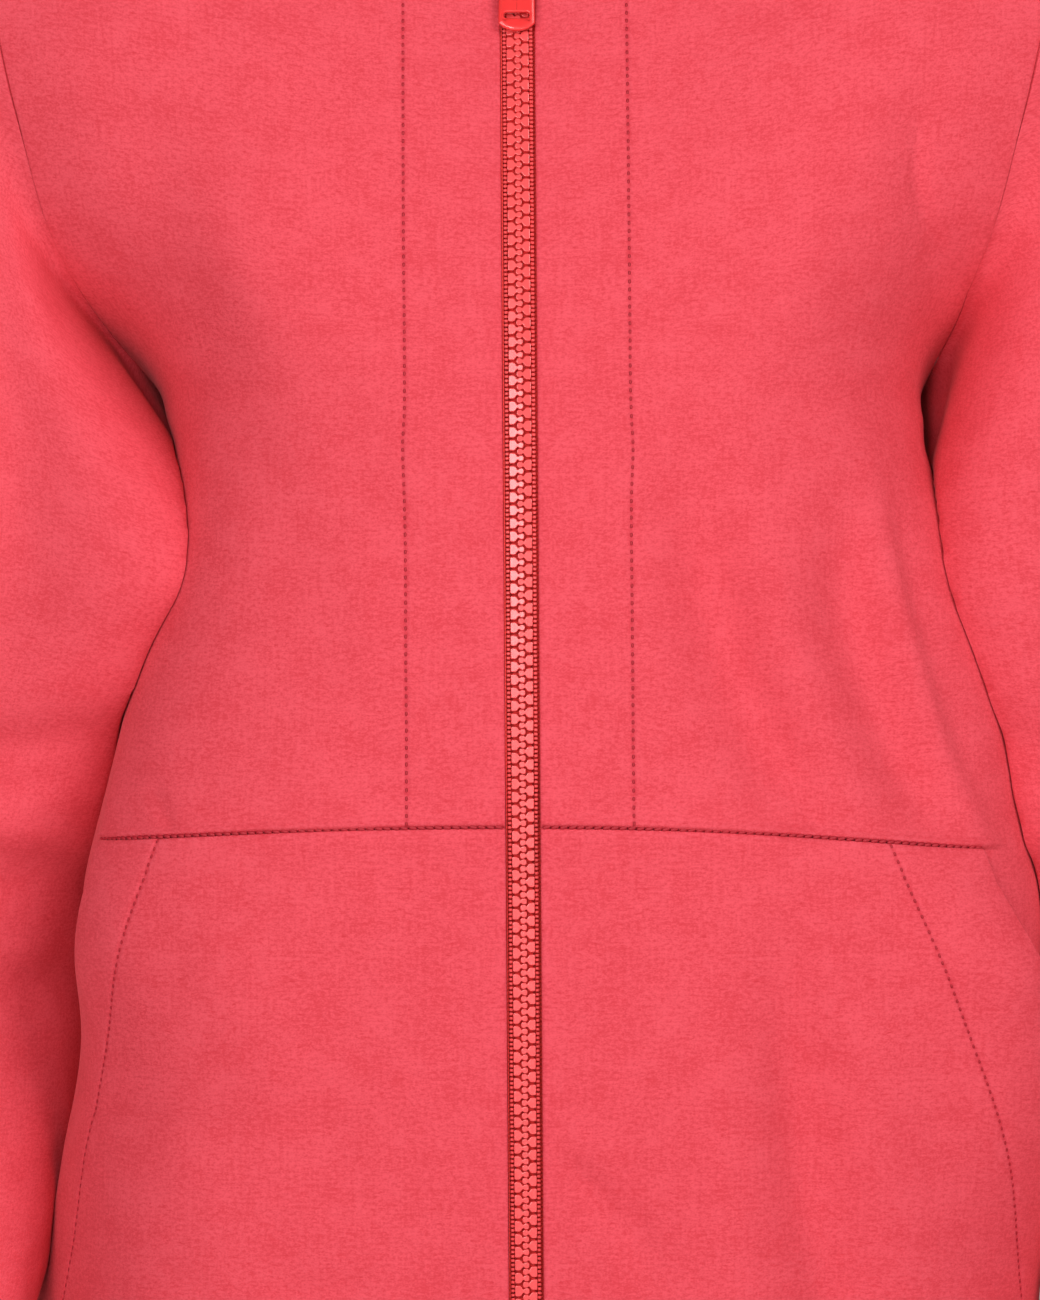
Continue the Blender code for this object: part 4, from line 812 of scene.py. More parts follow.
def pocket_cloth(side):
    """A pocket panel's outer face. Its mouth gapes, and its seam allowance and hem show through."""
    w = stations(0, POCKET_TOP_V, POCKET_STEP)[:, None]
    column = stations(0, MOUTH_COLUMN, POCKET_STEP, 1 / POCKET_COLUMN_WIDTH)[None, :]
    v, u = front_place(w, column, side, mouth_table(side))
    points, outs = body_points(v, u, side)
    arc = ZIP_OPENING / 2 + run(body_form(v, u, side), 1)
    below = POCKET_TOP_V - w
    gape = smooth(below, *POCKET_GAPE_TOP) * smooth(w, *POCKET_GAPE_FOOT)
    gape = gape * smooth(column / MOUTH_COLUMN, *POCKET_GAPE_ACROSS)
    mouth_line = mouth_arc(v) - MOUTH_HEM[side]
    cloth = Cloth(points, outs, arc, v, [arc - mouth_line, v - HEM_DEPTH])
    allowance = 1 - smooth(below, ALLOWANCE - ALLOWANCE_EDGE, ALLOWANCE + ALLOWANCE_EDGE)
    hem = MOUTH_HEM_RISE * smooth(arc, *(mouth_line + edge for edge in MOUTH_HEM_EDGE))
    settle = swell(arc, v) * smooth(arc, *SWELLS_PAST_ZIP)
    cloth.lift(POCKET_GAP + CLOTH + POCKET_GAPE[side] * gape + ALLOWANCE_RISE * allowance + hem + settle)
    cloth.turn_edges(top=SEAM_TURN, first=ZIP_TURN, last=FOLD_TURN, foot=FOLD_TURN)
    return cloth


def back_cloth(side):
    """Half of the back, and the row below which its two halves are joined."""
    v = np.concatenate([
        stations(SHOULDER_V, NECK_BACK_V, BACK_STEP)[:-len(EDGE_STEPS)],
        np.linspace(NECK_BACK_V, BACK_UNDERARM_V, 56)[:-1],
        stations(BACK_UNDERARM_V, BACK_HEM_V, BACK_STEP),
    ])[:, None]
    u = 1 - stations(0, 1, BACK_STEP, 1 / BACK_HALF_WIDTH)[::-1][None, :]
    u = np.concatenate([np.linspace(0, u[0, 5], 7)[None, :], u[:, 6:]], axis=1)
    points, outs = body_points(v, u, side)
    arc = run(body_form(v, u, side), 1) + CENTRE["x"].at(np.minimum(v, NECK_BACK_V))
    across, from_hem = arc * SIDES[side], BACK_HEM_V - v + 0 * u
    cloth = Cloth(points, outs, across, from_hem, [from_hem - HEM_DEPTH])
    part_panel(cloth, v[:, 0], side, 0, 3)
    cloth.lift(swell(across + SWELLS_BACK, from_hem))
    cloth.turn_edges(last=SEAM_TURN, foot=SEAM_TURN, top=FOLD_TURN)
    return cloth, int(np.argmax(v[:, 0] >= NECK_BACK_V - 1e-9))


def ring_points(down, angle, side):
    """Points of the sleeve below the armhole. angle is 0 next to the body and a quarter turn in front."""
    down, angle = np.broadcast_arrays(down, angle)
    row = {name: track.at(down) for name, track in ARM.items()}
    tilt = np.radians(row["tilt"])
    forward, inwards, square = (SETTLE[key + side].at(down) for key in ("forward_", "in_", "square_"))
    inner_front = np.maximum(0, np.cos(angle)) * np.maximum(0, np.sin(angle)) * 2
    square = 1 + square * inner_front**2
    front = -np.sin(angle) * row["r_front"] * square
    x = row["x_" + side] - np.cos(angle) * row["r_out"] * square - inwards * np.maximum(0, np.cos(angle))
    y = row["y"] - forward + front * np.cos(tilt)
    return np.stack([x * SIDES[side], y, row["z"] + front * np.sin(tilt)], -1)


def top_share(angle):
    """0 at the underarm and 1 over the shoulder."""
    return smooth((1 - np.cos(angle)) / 2, *CAP_TOP)


def sleeve_lift(down, turn):
    """How far a sleeve's folds lift it, down it and round it."""
    total = 0.0
    for row in SLEEVE_FOLD_ROWS + SLEEVE_CREASE_ROWS:
        fold = dict(zip(SLEEVE_FOLD_COLUMNS, row))
        round_off = (turn - fold["round"] + 0.5) % 1.0 - 0.5
        down_off = down - fold["down"] - fold["rise"] * round_off
        total = total + fold["height"] * bell(down_off, fold["half_down"]) * bell(
            round_off, fold["half_round"]
        )
    return total


def sleeve_cloth(side):
    """A sleeve's outer face: a cap from the armhole's seam to the arm's first ring, and the arm below it."""
    fine_v = np.linspace(FRONT_UNDERARM_V, BACK_UNDERARM_V, 500)
    seam = run(body_form(fine_v, np.ones_like(fine_v), side)[None], 1)[0]
    turn = stations(0, 1, SLEEVE_STEP, 1 / seam[-1])
    v = np.interp(turn, seam / seam[-1], fine_v)
    angle = 2 * math.pi * turn
    start, start_out = body_points(v, np.ones_like(v), side)
    low, high = np.maximum(FRONT_UNDERARM_V, v - STEP_V), np.minimum(BACK_UNDERARM_V, v + STEP_V)
    along = body_form(high, np.ones_like(v), side) - body_form(low, np.ones_like(v), side)
    onward = unit(np.cross(along, start_out))
    onward = np.where((onward[:, :1] * SIDES[side]) < 0, -onward, onward)
    top = top_share(angle)
    end = ring_points(0.0, angle, side)
    flush = np.maximum(top, ARMHOLE_FLUSH * smooth(np.sin(angle), *FLUSH_FRONT))
    leave = unit(blend_of(unit(end - start), onward, flush))

    down = stations(0, 1, SLEEVE_STEP, 1 / SLEEVE_DROP)[:, None]
    t = np.minimum(1, down / CAP_SHARE)[..., None]
    gap = np.linalg.norm(end - start, axis=1)[:, None]
    pull = (UNDERARM_PULL + (SHOULDER_PULL - UNDERARM_PULL) * flush)[:, None]
    arrive = unit(ring_points(STEP_DOWN, angle, side) - end)
    cap = hermite(t, start, gap * pull * leave, end, gap * ARRIVE_PULL * arrive)
    arm = ring_points(np.maximum(0, (down - CAP_SHARE) / (1 - CAP_SHARE)), angle[None, :], side)
    bare = np.where((down < CAP_SHARE)[..., None], cap, arm)

    loop = bare[:, :-1]
    girth = np.roll(loop, -1, axis=1) - np.roll(loop, 1, axis=1)
    girth = np.concatenate([girth, girth[:, :1]], axis=1)
    fall = np.concatenate([bare[1:], bare[-1:]]) - np.concatenate([bare[:1], bare[:-1]])
    outs = unit(np.cross(fall, girth)) * SIDES[side]
    outs[0] = unit(blend_of(outs[0], start_out, flush))
    drop = run(bare, 0)
    wide = seam[-1] * turn[None, :] + 0 * down
    to_cuff = drop[-1] - drop
    lift = sleeve_lift(down, turn[None, :]) + swell(wide + SWELLS_SLEEVE, drop)
    points = bare + outs * lift[..., None]
    points[0] += unit(leave + np.array([SIDES[side], 0, 0])) * SEAM_GAP
    points[:, -1] = points[:, 0]
    apart = unit(points[:, 2] - points[:, 0]) * SEAM_GAP / 3
    points[:, 0] += apart
    points[:, -1] -= apart
    cloth = Cloth(points, outs, wide, to_cuff, [to_cuff - HEM_DEPTH])
    cloth.turn_edges(foot=ARMHOLE_TURN, top=FOLD_TURN, first=UNDERARM_TURN, last=UNDERARM_TURN)
    return cloth


def rest_against(cloth, others, share):
    """Moves points that are inside other cloth, or all but touch it, out to rest against it."""
    for other in others:
        faces = grid_faces(np.arange(other.across.size).reshape(other.across.shape))
        points = other.points.reshape(-1, 3)
        faces = facing_out(faces, points, other.outs.reshape(-1, 3))
        tree = BVHTree.FromPolygons(points.tolist(), faces.tolist())
        for row, column in np.argwhere(share > 0):
            place = Vector(cloth.points[row, column])
            near, normal, _, distance = tree.find_nearest(place, REST_WITHIN)
            if near is None:
                continue
            rise = (place - near).dot(normal)
            aside = (place - near - normal * rise).length
            if rise < REST_GAP and aside < REST_ASIDE:
                cloth.points[row, column] += np.array(normal) * (REST_GAP - rise) * share[row, column]


def band_rise(points):
    """The direction in which the band stands up from the neckline."""
    inwards = points * np.array([-1, -1, 0])
    return unit(np.array([0, 0, 1]) + unit(inwards) * BAND_LEAN)


def neckband_cloth(side):
    """Half of the neckband, from the zip to the middle of the back."""
    v = np.concatenate([
        np.linspace(NECK_FRONT_V, SHOULDER_V, 52), np.linspace(SHOULDER_V, NECK_BACK_V, 40)[1:]
    ])[::-1]
    foot = body_form(v, np.zeros_like(v), side)
    foot[0, 0] = 0
    along = np.concatenate([foot[1:], foot[-1:]]) - np.concatenate([foot[:1], foot[:-1]])
    along[0], along[-1] = (SIDES[side], 0, 0), (-SIDES[side], 0, 0)
    rise = band_rise(foot)
    outs = unit(np.cross(along, rise)) * -SIDES[side]
    height = stations(BAND_FOOT, BAND_HEIGHT, BAND_STEP)[:, None]
    points = foot[None] + rise[None] * height[..., None]
    across = run(foot[None], 1) * SIDES[side] + 0 * height
    up = height + 0 * across
    grid = np.broadcast_to(outs, points.shape)
    cloth = Cloth(points, grid, across, up, [up - BAND_STITCH, BAND_HEIGHT - BAND_STITCH - up])
    cloth.turn_edges(foot=SEAM_TURN, top=FOLD_TURN, last=FOLD_TURN)
    return cloth


# ---------------------------------------------------------------- sewing


def read_at(at, along, values):
    """Points or directions along a line, read at distances along it."""
    return np.stack([np.interp(at, along, values[:, k]) for k in range(3)], -1)


def evenly(points, outs, pitch, wobble, seed):
    """Places a pitch apart along a line, with their outward directions and the line's direction."""
    along = run(points[None], 1)[0]
    count = int(along[-1] / pitch)
    at = (np.arange(count) + 0.5) * along[-1] / count
    at = at + np.random.default_rng(seed).normal(0, wobble, count)
    way = unit(read_at(at + TANGENT, along, points) - read_at(at - TANGENT, along, points))
    out = unit(read_at(at, along, outs))
    return read_at(at, along, points), unit(out - way * (out * way).sum(-1, keepdims=True)), way


def stitch_shape(length, width, height):
    """One stitch: a soft, slightly pinched bolster along x."""
    turns = [2 * math.pi * k / STITCH_SIDES for k in range(STITCH_SIDES)]
    points, faces = ring_stack([
        [(x * length, math.cos(a) * size * width / 2, math.sin(a) * size * height / 2) for a in turns]
        for x, size in STITCH_PROFILE
    ])
    return points, faces + end_faces(len(points), STITCH_SIDES)


def sew(name, lines, pitch, length, width, height, sink, slant, material, seed):
    """Rows of stitches along lines of (points, outs), as one piece."""
    shape = stitch_shape(length, width, height)
    stitches = []
    for n, (points, outs) in enumerate(lines):
        place, out, way = evenly(points, outs, pitch, pitch * STITCH_WOBBLE, seed + n)
        leaning = unit(way + np.cross(out, way) * math.tan(math.radians(slant)))
        stitches += copies(shape, place + out * (height / 2 - sink), leaning, np.cross(out, leaning), out)
    return dress(mesh_object(name, *join(stitches), sharp=None), [material])


# ---------------------------------------------------------------- moulded pieces


class Zip:
    """The zip's middle line, up the front and then up the neckband: points, outward and upward directions."""

    def __init__(self):
        v = np.linspace(ZIP_FOOT, NECK_FRONT_V, 400)
        body = body_form(v, np.zeros_like(v), "left")
        body[:, 0] = lean_at(body[:, 2])
        foot, rise, _ = neck_frame()
        heights = np.linspace(0, BAND_HEIGHT, 24)[1:]
        band = foot + rise * heights[:, None]
        self.points = np.concatenate([body, band])
        ways = unit(np.gradient(body, axis=0))
        ways[:, 0] = 0
        ways = unit(ways)
        self.ups = np.concatenate([ways, np.broadcast_to(rise, band.shape)])
        self.outs = np.stack([0 * self.ups[:, 0], -self.ups[:, 2], self.ups[:, 1]], -1)
        self.along = run(self.points[None], 1)[0]
        self.neck = self.along[len(body) - 1]

    def at(self, distance):
        """The point, outward and upward directions at distances along the zip."""
        points, outs, ups = (read_at(distance, self.along, a) for a in (self.points, self.outs, self.ups))
        return points, unit(outs), unit(ups)


def neck_frame():
    """The zip's middle point at the neck seam, and the directions up the band and out of it."""
    point = body_form(NECK_FRONT_V, 0.0, "left")
    point[0] = lean_at(point[2])
    rise = band_rise(np.array([0, point[1], 0]))
    return point, rise, np.array([0, -rise[2], rise[1]])


def inset(outline, distance):
    """An outline that turns left, moved inwards."""
    before, after = np.roll(outline, 1, axis=0), np.roll(outline, -1, axis=0)
    a, b = unit(outline - before), unit(after - outline)
    left_a, left_b = np.stack([-a[:, 1], a[:, 0]], -1), np.stack([-b[:, 1], b[:, 0]], -1)
    middle = unit(left_a + left_b)
    share = np.maximum(0.5, (middle * left_a).sum(-1, keepdims=True))
    return outline + middle * distance / share


def ring_stack(rings, closed=False):
    """Rings of equal counts as one skin. closed joins the last ring to the first."""
    count = len(rings[0])
    pairs = [(r, r + 1) for r in range(len(rings) - 1)] + ([(len(rings) - 1, 0)] if closed else [])
    faces = [
        (a * count + k, a * count + (k + 1) % count, b * count + (k + 1) % count, b * count + k)
        for a, b in pairs for k in range(count)
    ]
    return np.concatenate(rings), faces


def end_faces(total, count):
    """The faces that close the first and the last ring of a skin."""
    return [tuple(range(count))[::-1], tuple(range(total - count, total))]


def level_ring(outline, level):
    return np.column_stack([outline, np.full(len(outline), level)])


def edge_turns(steps):
    """How far in and how far down each step of a soft edge is, as shares of its width and depth."""
    turns = [math.pi / 2 * k / steps for k in range(steps + 1)]
    return [(1 - math.cos(a), 1 - math.sin(a)) for a in turns]


def plate_shape(outline, low, high, bevel, drop=None, steps=3):
    """A moulded plate with softened edges, as local (x, y, out) points and faces. outline turns left."""
    outline = np.asarray(outline, float)
    drop = bevel if drop is None else drop
    rings = [level_ring(outline, low)]
    rings += [level_ring(inset(outline, bevel * i), high - drop * d) for i, d in edge_turns(steps)]
    rings.append(level_ring(inset(outline, bevel + FLAT_RIM), high))
    points, sides = ring_stack(rings)
    count, tip = len(outline), len(points)
    foot, head = end_faces(tip, count)
    centre = np.array([[*rings[-1][:, :2].mean(axis=0), high]])
    fan = [(a, b, tip) for a, b in zip(head, head[1:] + head[:1])]
    return np.concatenate([points, centre]), [foot] + sides + fan


def rounded_box(left, right, foot, head, radius, steps=3):
    """A rounded rectangle that turns left."""
    corners = ((right - radius, foot + radius, -90), (right - radius, head - radius, 0),
               (left + radius, head - radius, 90), (left + radius, foot + radius, 180))
    return [
        (x + radius * math.cos(math.radians(turn + 90 * k / steps)),
         y + radius * math.sin(math.radians(turn + 90 * k / steps)))
        for x, y, turn in corners for k in range(steps + 1)
    ]


def turned_rings(profile, sides):
    """Rings round the x axis, one for each (x, radius)."""
    turns = 2 * math.pi * np.arange(sides) / sides
    return [np.column_stack([np.full(sides, x), r * np.cos(turns), r * np.sin(turns)]) for x, r in profile]


def bar_shape(radius, half_length, sides=20, soft=0.0002):
    """A round bar along x with softened ends, as local (x, y, out) points and faces."""
    half = ((half_length - soft, radius), (half_length, radius - soft))
    points, faces = ring_stack(turned_rings([(-x, r) for x, r in half[::-1]] + list(half), sides))
    return points, [face[:1] + face[:0:-1] for face in faces] + [
        face[::-1] for face in end_faces(len(points), sides)
    ]


def tube_shape(outer, inner, end, sides=32, outside=0.0004, inside=0.0001):
    """A short tube along x with softened ends, as local (x, y, out) points and faces."""
    out = [(end - outside, outer), (end, outer - outside)]
    back = [(end, inner + inside), (end - inside, inner)]
    profile = [(-x, r) for x, r in out[::-1]] + out + back + [(-x, r) for x, r in back[::-1]]
    return ring_stack(turned_rings(profile, sides), True)


def join(shapes):
    """Several local shapes as one."""
    points, faces, start = [], [], 0
    for some, their in shapes:
        points.append(np.asarray(some, float))
        faces += [tuple(i + start for i in face) for face in their]
        start += len(some)
    return np.concatenate(points), faces


def moved(shape, x=0.0, y=0.0, out=0.0):
    return shape[0] + np.array([x, y, out]), shape[1]


def mirrored(shape):
    return shape[0] * np.array([-1, 1, 1]), [face[::-1] for face in shape[1]]


def copies(shape, places, ways, ups, outs):
    """Copies of a local (x, y, out) shape, each at its place and turned to its own three directions."""
    points, faces = shape
    made = (
        places[:, None] + ways[:, None] * points[None, :, :1]
        + ups[:, None] * points[None, :, 1:2] + outs[:, None] * points[None, :, 2:]
    )
    return [(some, faces) for some in made]


def stand(name, shape, places, sharp=40):
    """Copies of a local shape at (point, out, up) places, as one piece. x runs to the wearer's left."""
    points, outs, ups = (np.atleast_2d(a) for a in places)
    return mesh_object(name, *join(copies(shape, points, np.cross(outs, ups) * -1, ups, outs)), sharp=sharp)


def tooth_shape(sizes):
    """A tooth of the wearer's right side: its body, its waisted head, and three feet on the cord."""
    body, head = sizes.tooth_body / 2, sizes.tooth_head / 2
    outer, inner, tip, waist = TOOTH_OUTER, TOOTH_INNER, TOOTH_TIP, TOOTH_WAIST
    half = [
        (outer + 0.0003, body), (inner - 0.0008, body), (inner - 0.0003, body * 0.84), (inner, body * 0.56),
        (inner + 0.00030, waist), (inner + 0.00060, waist), (inner + 0.00095, head * 0.88),
        (tip - 0.0007, head), (tip - 0.00025, head * 0.80), (tip, head * 0.34),
    ]
    outline = [(x, -y) for x, y in half] + half[::-1] + [(outer, body * 0.8), (outer, -body * 0.8)]
    low = CHAIN_PROUD - CHAIN_DEPTH
    points, faces = plate_shape(outline, low, CHAIN_PROUD - TOOTH_BELOW, TOOTH_BEVEL, steps=2)
    tilt = math.tan(math.radians(sizes.tooth_tilt))
    points[:, 2] += np.where(points[:, 2] > low, (points[:, 0] - outer) * tilt, 0)
    half_x, half_y = COMB_FOOT
    foot = rounded_box(-half_x, half_x, -half_y, half_y, COMB_FOOT_CORNER, 1)
    foot = plate_shape(foot, low, CHAIN_PROUD - COMB_FOOT_BELOW, COMB_FOOT_BEVEL, steps=1)
    return join([(points, faces)] + [moved(foot, outer - COMB_FOOT_AT, y) for y in COMB_FOOT_UPS])


# ---------------------------------------------------------------- finishes


class Wire:
    """A number that varies over a surface. Sums with it add Math nodes."""

    def __init__(self, finish, socket):
        self.finish, self.socket = finish, socket

    def maths(self, operation, first, second):
        return self.finish.node("ShaderNodeMath", {"operation": operation}, {0: first, 1: second})

    def __add__(self, other):
        return self.maths("ADD", self, other)

    __radd__ = __add__

    def __sub__(self, other):
        return self.maths("SUBTRACT", self, other)

    def __rsub__(self, other):
        return self.maths("SUBTRACT", other, self)

    def __mul__(self, other):
        return self.maths("MULTIPLY", self, other)

    __rmul__ = __mul__

    def __pow__(self, other):
        return self.maths("POWER", self, other)

    def __rpow__(self, other):
        return self.maths("POWER", other, self)


def added(wires):
    """The sum of several numbers that vary."""
    total = None
    for wire in wires:
        total = wire if total is None else total + wire
    return total


class Finish:
    """A material in the making."""

    def __init__(self, name, **constants):
        self.material = bpy.data.materials.new(name)
        self.material.use_nodes = True
        self.tree = self.material.node_tree
        self.shader = self.tree.nodes["Principled BSDF"]
        for key, value in constants.items():
            self.shader.inputs[key.replace("_", " ")].default_value = value

    def node(self, kind, settings, sockets, output=0):
        """Adds a node: its settings first, and then the values or links of its sockets."""
        made = self.tree.nodes.new(kind)
        for key, value in settings.items():
            setattr(made, key, value)
        for key, value in sockets.items():
            if isinstance(value, Wire):
                self.tree.links.new(value.socket, made.inputs[key])
            else:
                made.inputs[key].default_value = value
        return Wire(self, made.outputs[output])

    def place(self, attribute, scale):
        """Where a point is, times scale: by an attribute, or by the object's own coordinates if None."""
        if attribute:
            where = self.node("ShaderNodeAttribute", {"attribute_name": attribute}, {}, "Vector")
        else:
            where = self.node("ShaderNodeTexCoord", {}, {}, "Object")
        return self.node("ShaderNodeVectorMath", {"operation": "MULTIPLY"}, {0: where, 1: scale})

    def noise(self, where, detail=2.0, roughness=0.5):
        sockets = {"Vector": where, "Scale": 1.0, "Detail": detail, "Roughness": roughness}
        return self.node("ShaderNodeTexNoise", {}, sockets, "Fac")

    def between(self, low, high, share):
        """A colour between two."""
        return self.node("ShaderNodeMix", {"data_type": "RGBA"}, {0: share, 6: low, 7: high}, 2)

    def stretch(self, share, low, high):
        """share from low to high, as 0 to 1."""
        sockets = {"Value": share, "From Min": low, "From Max": high}
        return self.node("ShaderNodeMapRange", {"interpolation_type": "SMOOTHSTEP"}, sockets)

    def drive(self, socket, wire):
        self.tree.links.new(wire.socket, self.shader.inputs[socket])

    def relief(self, height, strength=1.0):
        """Bumps the surface by a height in metres."""
        sockets = {"Height": height, "Distance": 1.0, "Strength": strength}
        self.drive("Normal", self.node("ShaderNodeBump", {}, sockets))

    def line_dips(self, width):
        """1 on the piece's lines of stitching and 0 away from them."""
        where = self.node("ShaderNodeAttribute", {"attribute_name": "lines"}, {}, "Vector")
        offsets = (self.node("ShaderNodeSeparateXYZ", {}, {"Vector": where}, k) for k in range(3))
        return added(math.e ** (offset * offset * (-1 / width**2)) for offset in offsets)


def rgba(colour, share=1.0):
    """A colour, or that share of its light."""
    return (*(min(1.0, c * share) for c in colour), 1.0)


def jersey(name, colours, reverse=False):
    """Smooth double jersey: a faint heather in short streaks across, a fine knitted grain, and painted shade
    along its lines of stitching.
    """
    finish = Finish(
        name, Roughness=0.82, Specular_IOR_Level=0.32, Sheen_Weight=0.07, Sheen_Roughness=0.45,
        Sheen_Tint=(1.0, 0.62, 0.62, 1.0),
    )
    marks = {
        key: finish.noise(finish.place("cloth", (across, up, 1)), detail, roughness)
        for key, (across, up, detail, roughness, _) in KNIT_MARKS.items()
    }
    share = finish.stretch(added(marks[key] * row[-1] for key, row in KNIT_MARKS.items()), *MOTTLE_RANGE)
    flecks = finish.stretch(added(marks[key] * part for key, part in FLECK_MARKS.items()), *FLECK_RANGE)
    colour = finish.between(rgba(colours.jersey_dark), rgba(colours.jersey_light), share)
    colour = finish.between(colour, rgba(colours.jersey_fleck), flecks * FLECK_STRENGTH)
    # Painted shade: the colour darkens towards the thread's along the lines of stitching.
    painted_shade = finish.line_dips(LINE_PAINTED_SHADE_WIDTH)
    finish.drive("Base Color", finish.between(colour, rgba(colours.thread), painted_shade * LINE_PAINTED_SHADE))
    heights = {"grain": REVERSE_LOOP_HEIGHT if reverse else LOOP_HEIGHT, **KNIT_HEIGHTS}
    height = added(marks[key] * high for key, high in heights.items())
    finish.relief(height - finish.line_dips(LINE_DIP_WIDTH) * LINE_DIP, KNIT_RELIEF)
    return finish.material


def sewing_thread(name, colour):
    """Twisted thread, with painted shade between its strands."""
    finish = Finish(name, Roughness=0.6)
    strand_relief_and_shade = finish.noise(finish.place(None, (2600, 2600, 2600)), 1.0)
    # Painted shade: the colour drops to three quarters where the noise is low.
    finish.drive("Base Color", finish.between(rgba(colour, 0.75), rgba(colour), strand_relief_and_shade))
    finish.relief(strand_relief_and_shade * TWIST_HEIGHT)
    return finish.material


def woven_tape(name, colour, share=1.0):
    """Close ribbed tape: ribs across it, and a fleck of painted shadow between them. A share below 1 darkens
    the whole weave as painted shade.
    """
    finish = Finish(name, Roughness=0.75, Specular_IOR_Level=0.3)
    where = finish.place("cloth", (1.0, 1.0, 1.0))
    sockets = {"Vector": where, "Scale": 230.0, "Distortion": 0.4, "Detail": 1.0}
    ribs = finish.node("ShaderNodeTexWave", {"bands_direction": "Y"}, sockets, "Fac")
    yarn = finish.noise(finish.place("cloth", (1800, 900, 1)), 1.0)
    lit = rgba(colour, share)
    finish.drive("Base Color", finish.between(rgba(lit[:3], 0.62), lit, ribs * 0.6 + yarn * 0.5))
    finish.relief(ribs * RIB_HEIGHT + yarn * YARN_HEIGHT)
    return finish.material


def moulded_plastic(name, colour, roughness):
    """Satin plastic with faint flow marks, and a slightly uneven gloss."""
    finish = Finish(name, Specular_IOR_Level=0.62)
    flow = finish.noise(finish.place(None, (900, 900, 300)), 2.0)
    tone = finish.noise(finish.place(None, (160, 160, 160)), 1.0)
    share = tone * 0.7 + flow * 0.3
    finish.drive("Base Color", finish.between(rgba(colour, 0.86), rgba(colour, 1.10), share))
    finish.drive("Roughness", flow * 0.08 + (roughness - 0.04))
    finish.relief(flow * FLOW_HEIGHT)
    return finish.material


def lacquered_metal(name, colour):
    """Thick glossy lacquer over a die-cast part: a soft orange peel, and faint clouds of a darker tone."""
    finish = Finish(name, Roughness=0.30, Specular_IOR_Level=0.35, Coat_Weight=0.6, Coat_Roughness=0.06)
    peel = finish.noise(finish.place(None, (520, 520, 520)), 2.0)
    tone = finish.noise(finish.place(None, (120, 120, 120)), 2.0)
    finish.drive("Base Color", finish.between(rgba(colour, 0.82), rgba(colour), tone))
    finish.relief(peel * PEEL_HEIGHT)
    return finish.material


def matt_paper(name, colour):
    """The studio's floor: faintly mottled matt paper."""
    finish = Finish(name, Roughness=0.9)
    tone = finish.noise(finish.place(None, (6, 6, 6)), 2.0)
    finish.drive("Base Color", finish.between(rgba(colour, 0.97), rgba(colour), tone))
    return finish.material


def finish_named(name, make, *details):
    """The material of that name, made the first time it is asked for."""
    return bpy.data.materials.get(name) or make(name, *details)


def jersey_pair(scene):
    colours = scene.sweatshirt_colours
    return [
        finish_named("jersey_face", jersey, colours),
        finish_named("jersey_reverse", jersey, colours, True),
    ]


def thread_of(scene):
    return finish_named("sewing_thread", sewing_thread, scene.sweatshirt_colours.thread)


def plastic_of(scene):
    colours = scene.sweatshirt_colours
    return finish_named("moulded_teeth", moulded_plastic, colours.plastic, colours.plastic_gloss)


# ---------------------------------------------------------------- settings


def size(name, description, default, low=0.0, high=10.0):
    return bpy.props.FloatProperty(
        name=name, description=description, default=default, min=low, max=high,
        precision=5, subtype="DISTANCE", unit="LENGTH",
    )


def amount(name, description, default, low=0.0, high=1000.0, **more):
    return bpy.props.FloatProperty(
        name=name, description=description, default=default, min=low, max=high, **more
    )


def power(name, description, default):
    return amount(name, description, default, subtype="POWER", unit="POWER")


def tint(name, description, default):
    return bpy.props.FloatVectorProperty(
        name=name, description=description, default=default, min=0.0, max=1.0, size=3, subtype="COLOR"
    )


class SewingSizes(bpy.types.PropertyGroup):
    """The sizes of the sewing."""

    pitch: size("Stitch pitch", "From one stitch to the next", 0.00274, 0.001, 0.01)
    length: size("Stitch length", "The thread that shows of each stitch", 0.00140, 0.0005, 0.01)
    thickness: size("Thread thickness", "Of the thread that shows", 0.00095, 0.0002, 0.003)
    seam_length: size("Seam stitch length", "The same, in the pocket's seam", 0.00265, 0.0005, 0.01)
    seam_thickness: size("Seam thread thickness", "The same, in the pocket's seam", 0.00145, 0.0002, 0.003)


class ZipSizes(bpy.types.PropertyGroup):
    """The sizes of the zip's teeth."""

    tooth_pitch: size("Tooth pitch", "From one tooth to the next on the same side", 0.0042, 0.001, 0.02)
    tooth_body: size("Tooth body", "A tooth's body, along the zip", 0.0034, 0.001, 0.02)
    tooth_head: size("Tooth head", "A tooth's head, along the zip", 0.0020, 0.001, 0.02)
    tooth_tilt: amount("Tooth tilt", "The rise of a tooth's top to the middle, in degrees", 4.0, -20.0, 20.0)


class SweatshirtColours(bpy.types.PropertyGroup):
    """The garment's colours, as linear light."""

    jersey_light: tint("Jersey, light yarn", "The lighter yarn of the heather", (0.80, 0.081, 0.111))
    jersey_dark: tint("Jersey, dark yarn", "The darker yarn of the heather", (0.68, 0.044, 0.064))
    jersey_fleck: tint("Jersey, flecks", "The short darker flecks", (0.60, 0.022, 0.036))
    thread: tint("Thread", "The sewing thread", (0.47, 0.005, 0.019))
    tape: tint("Zip tape", "The woven tape", (0.86, 0.040, 0.036))
    plastic: tint("Zip plastic", "The moulded teeth", (0.90, 0.085, 0.088))
    lacquer: tint("Lacquer", "The slider and the pull tab", (0.93, 0.034, 0.034))
    plastic_gloss: amount("Plastic roughness", "How matt the teeth are", 0.23, 0.05, 1.0)


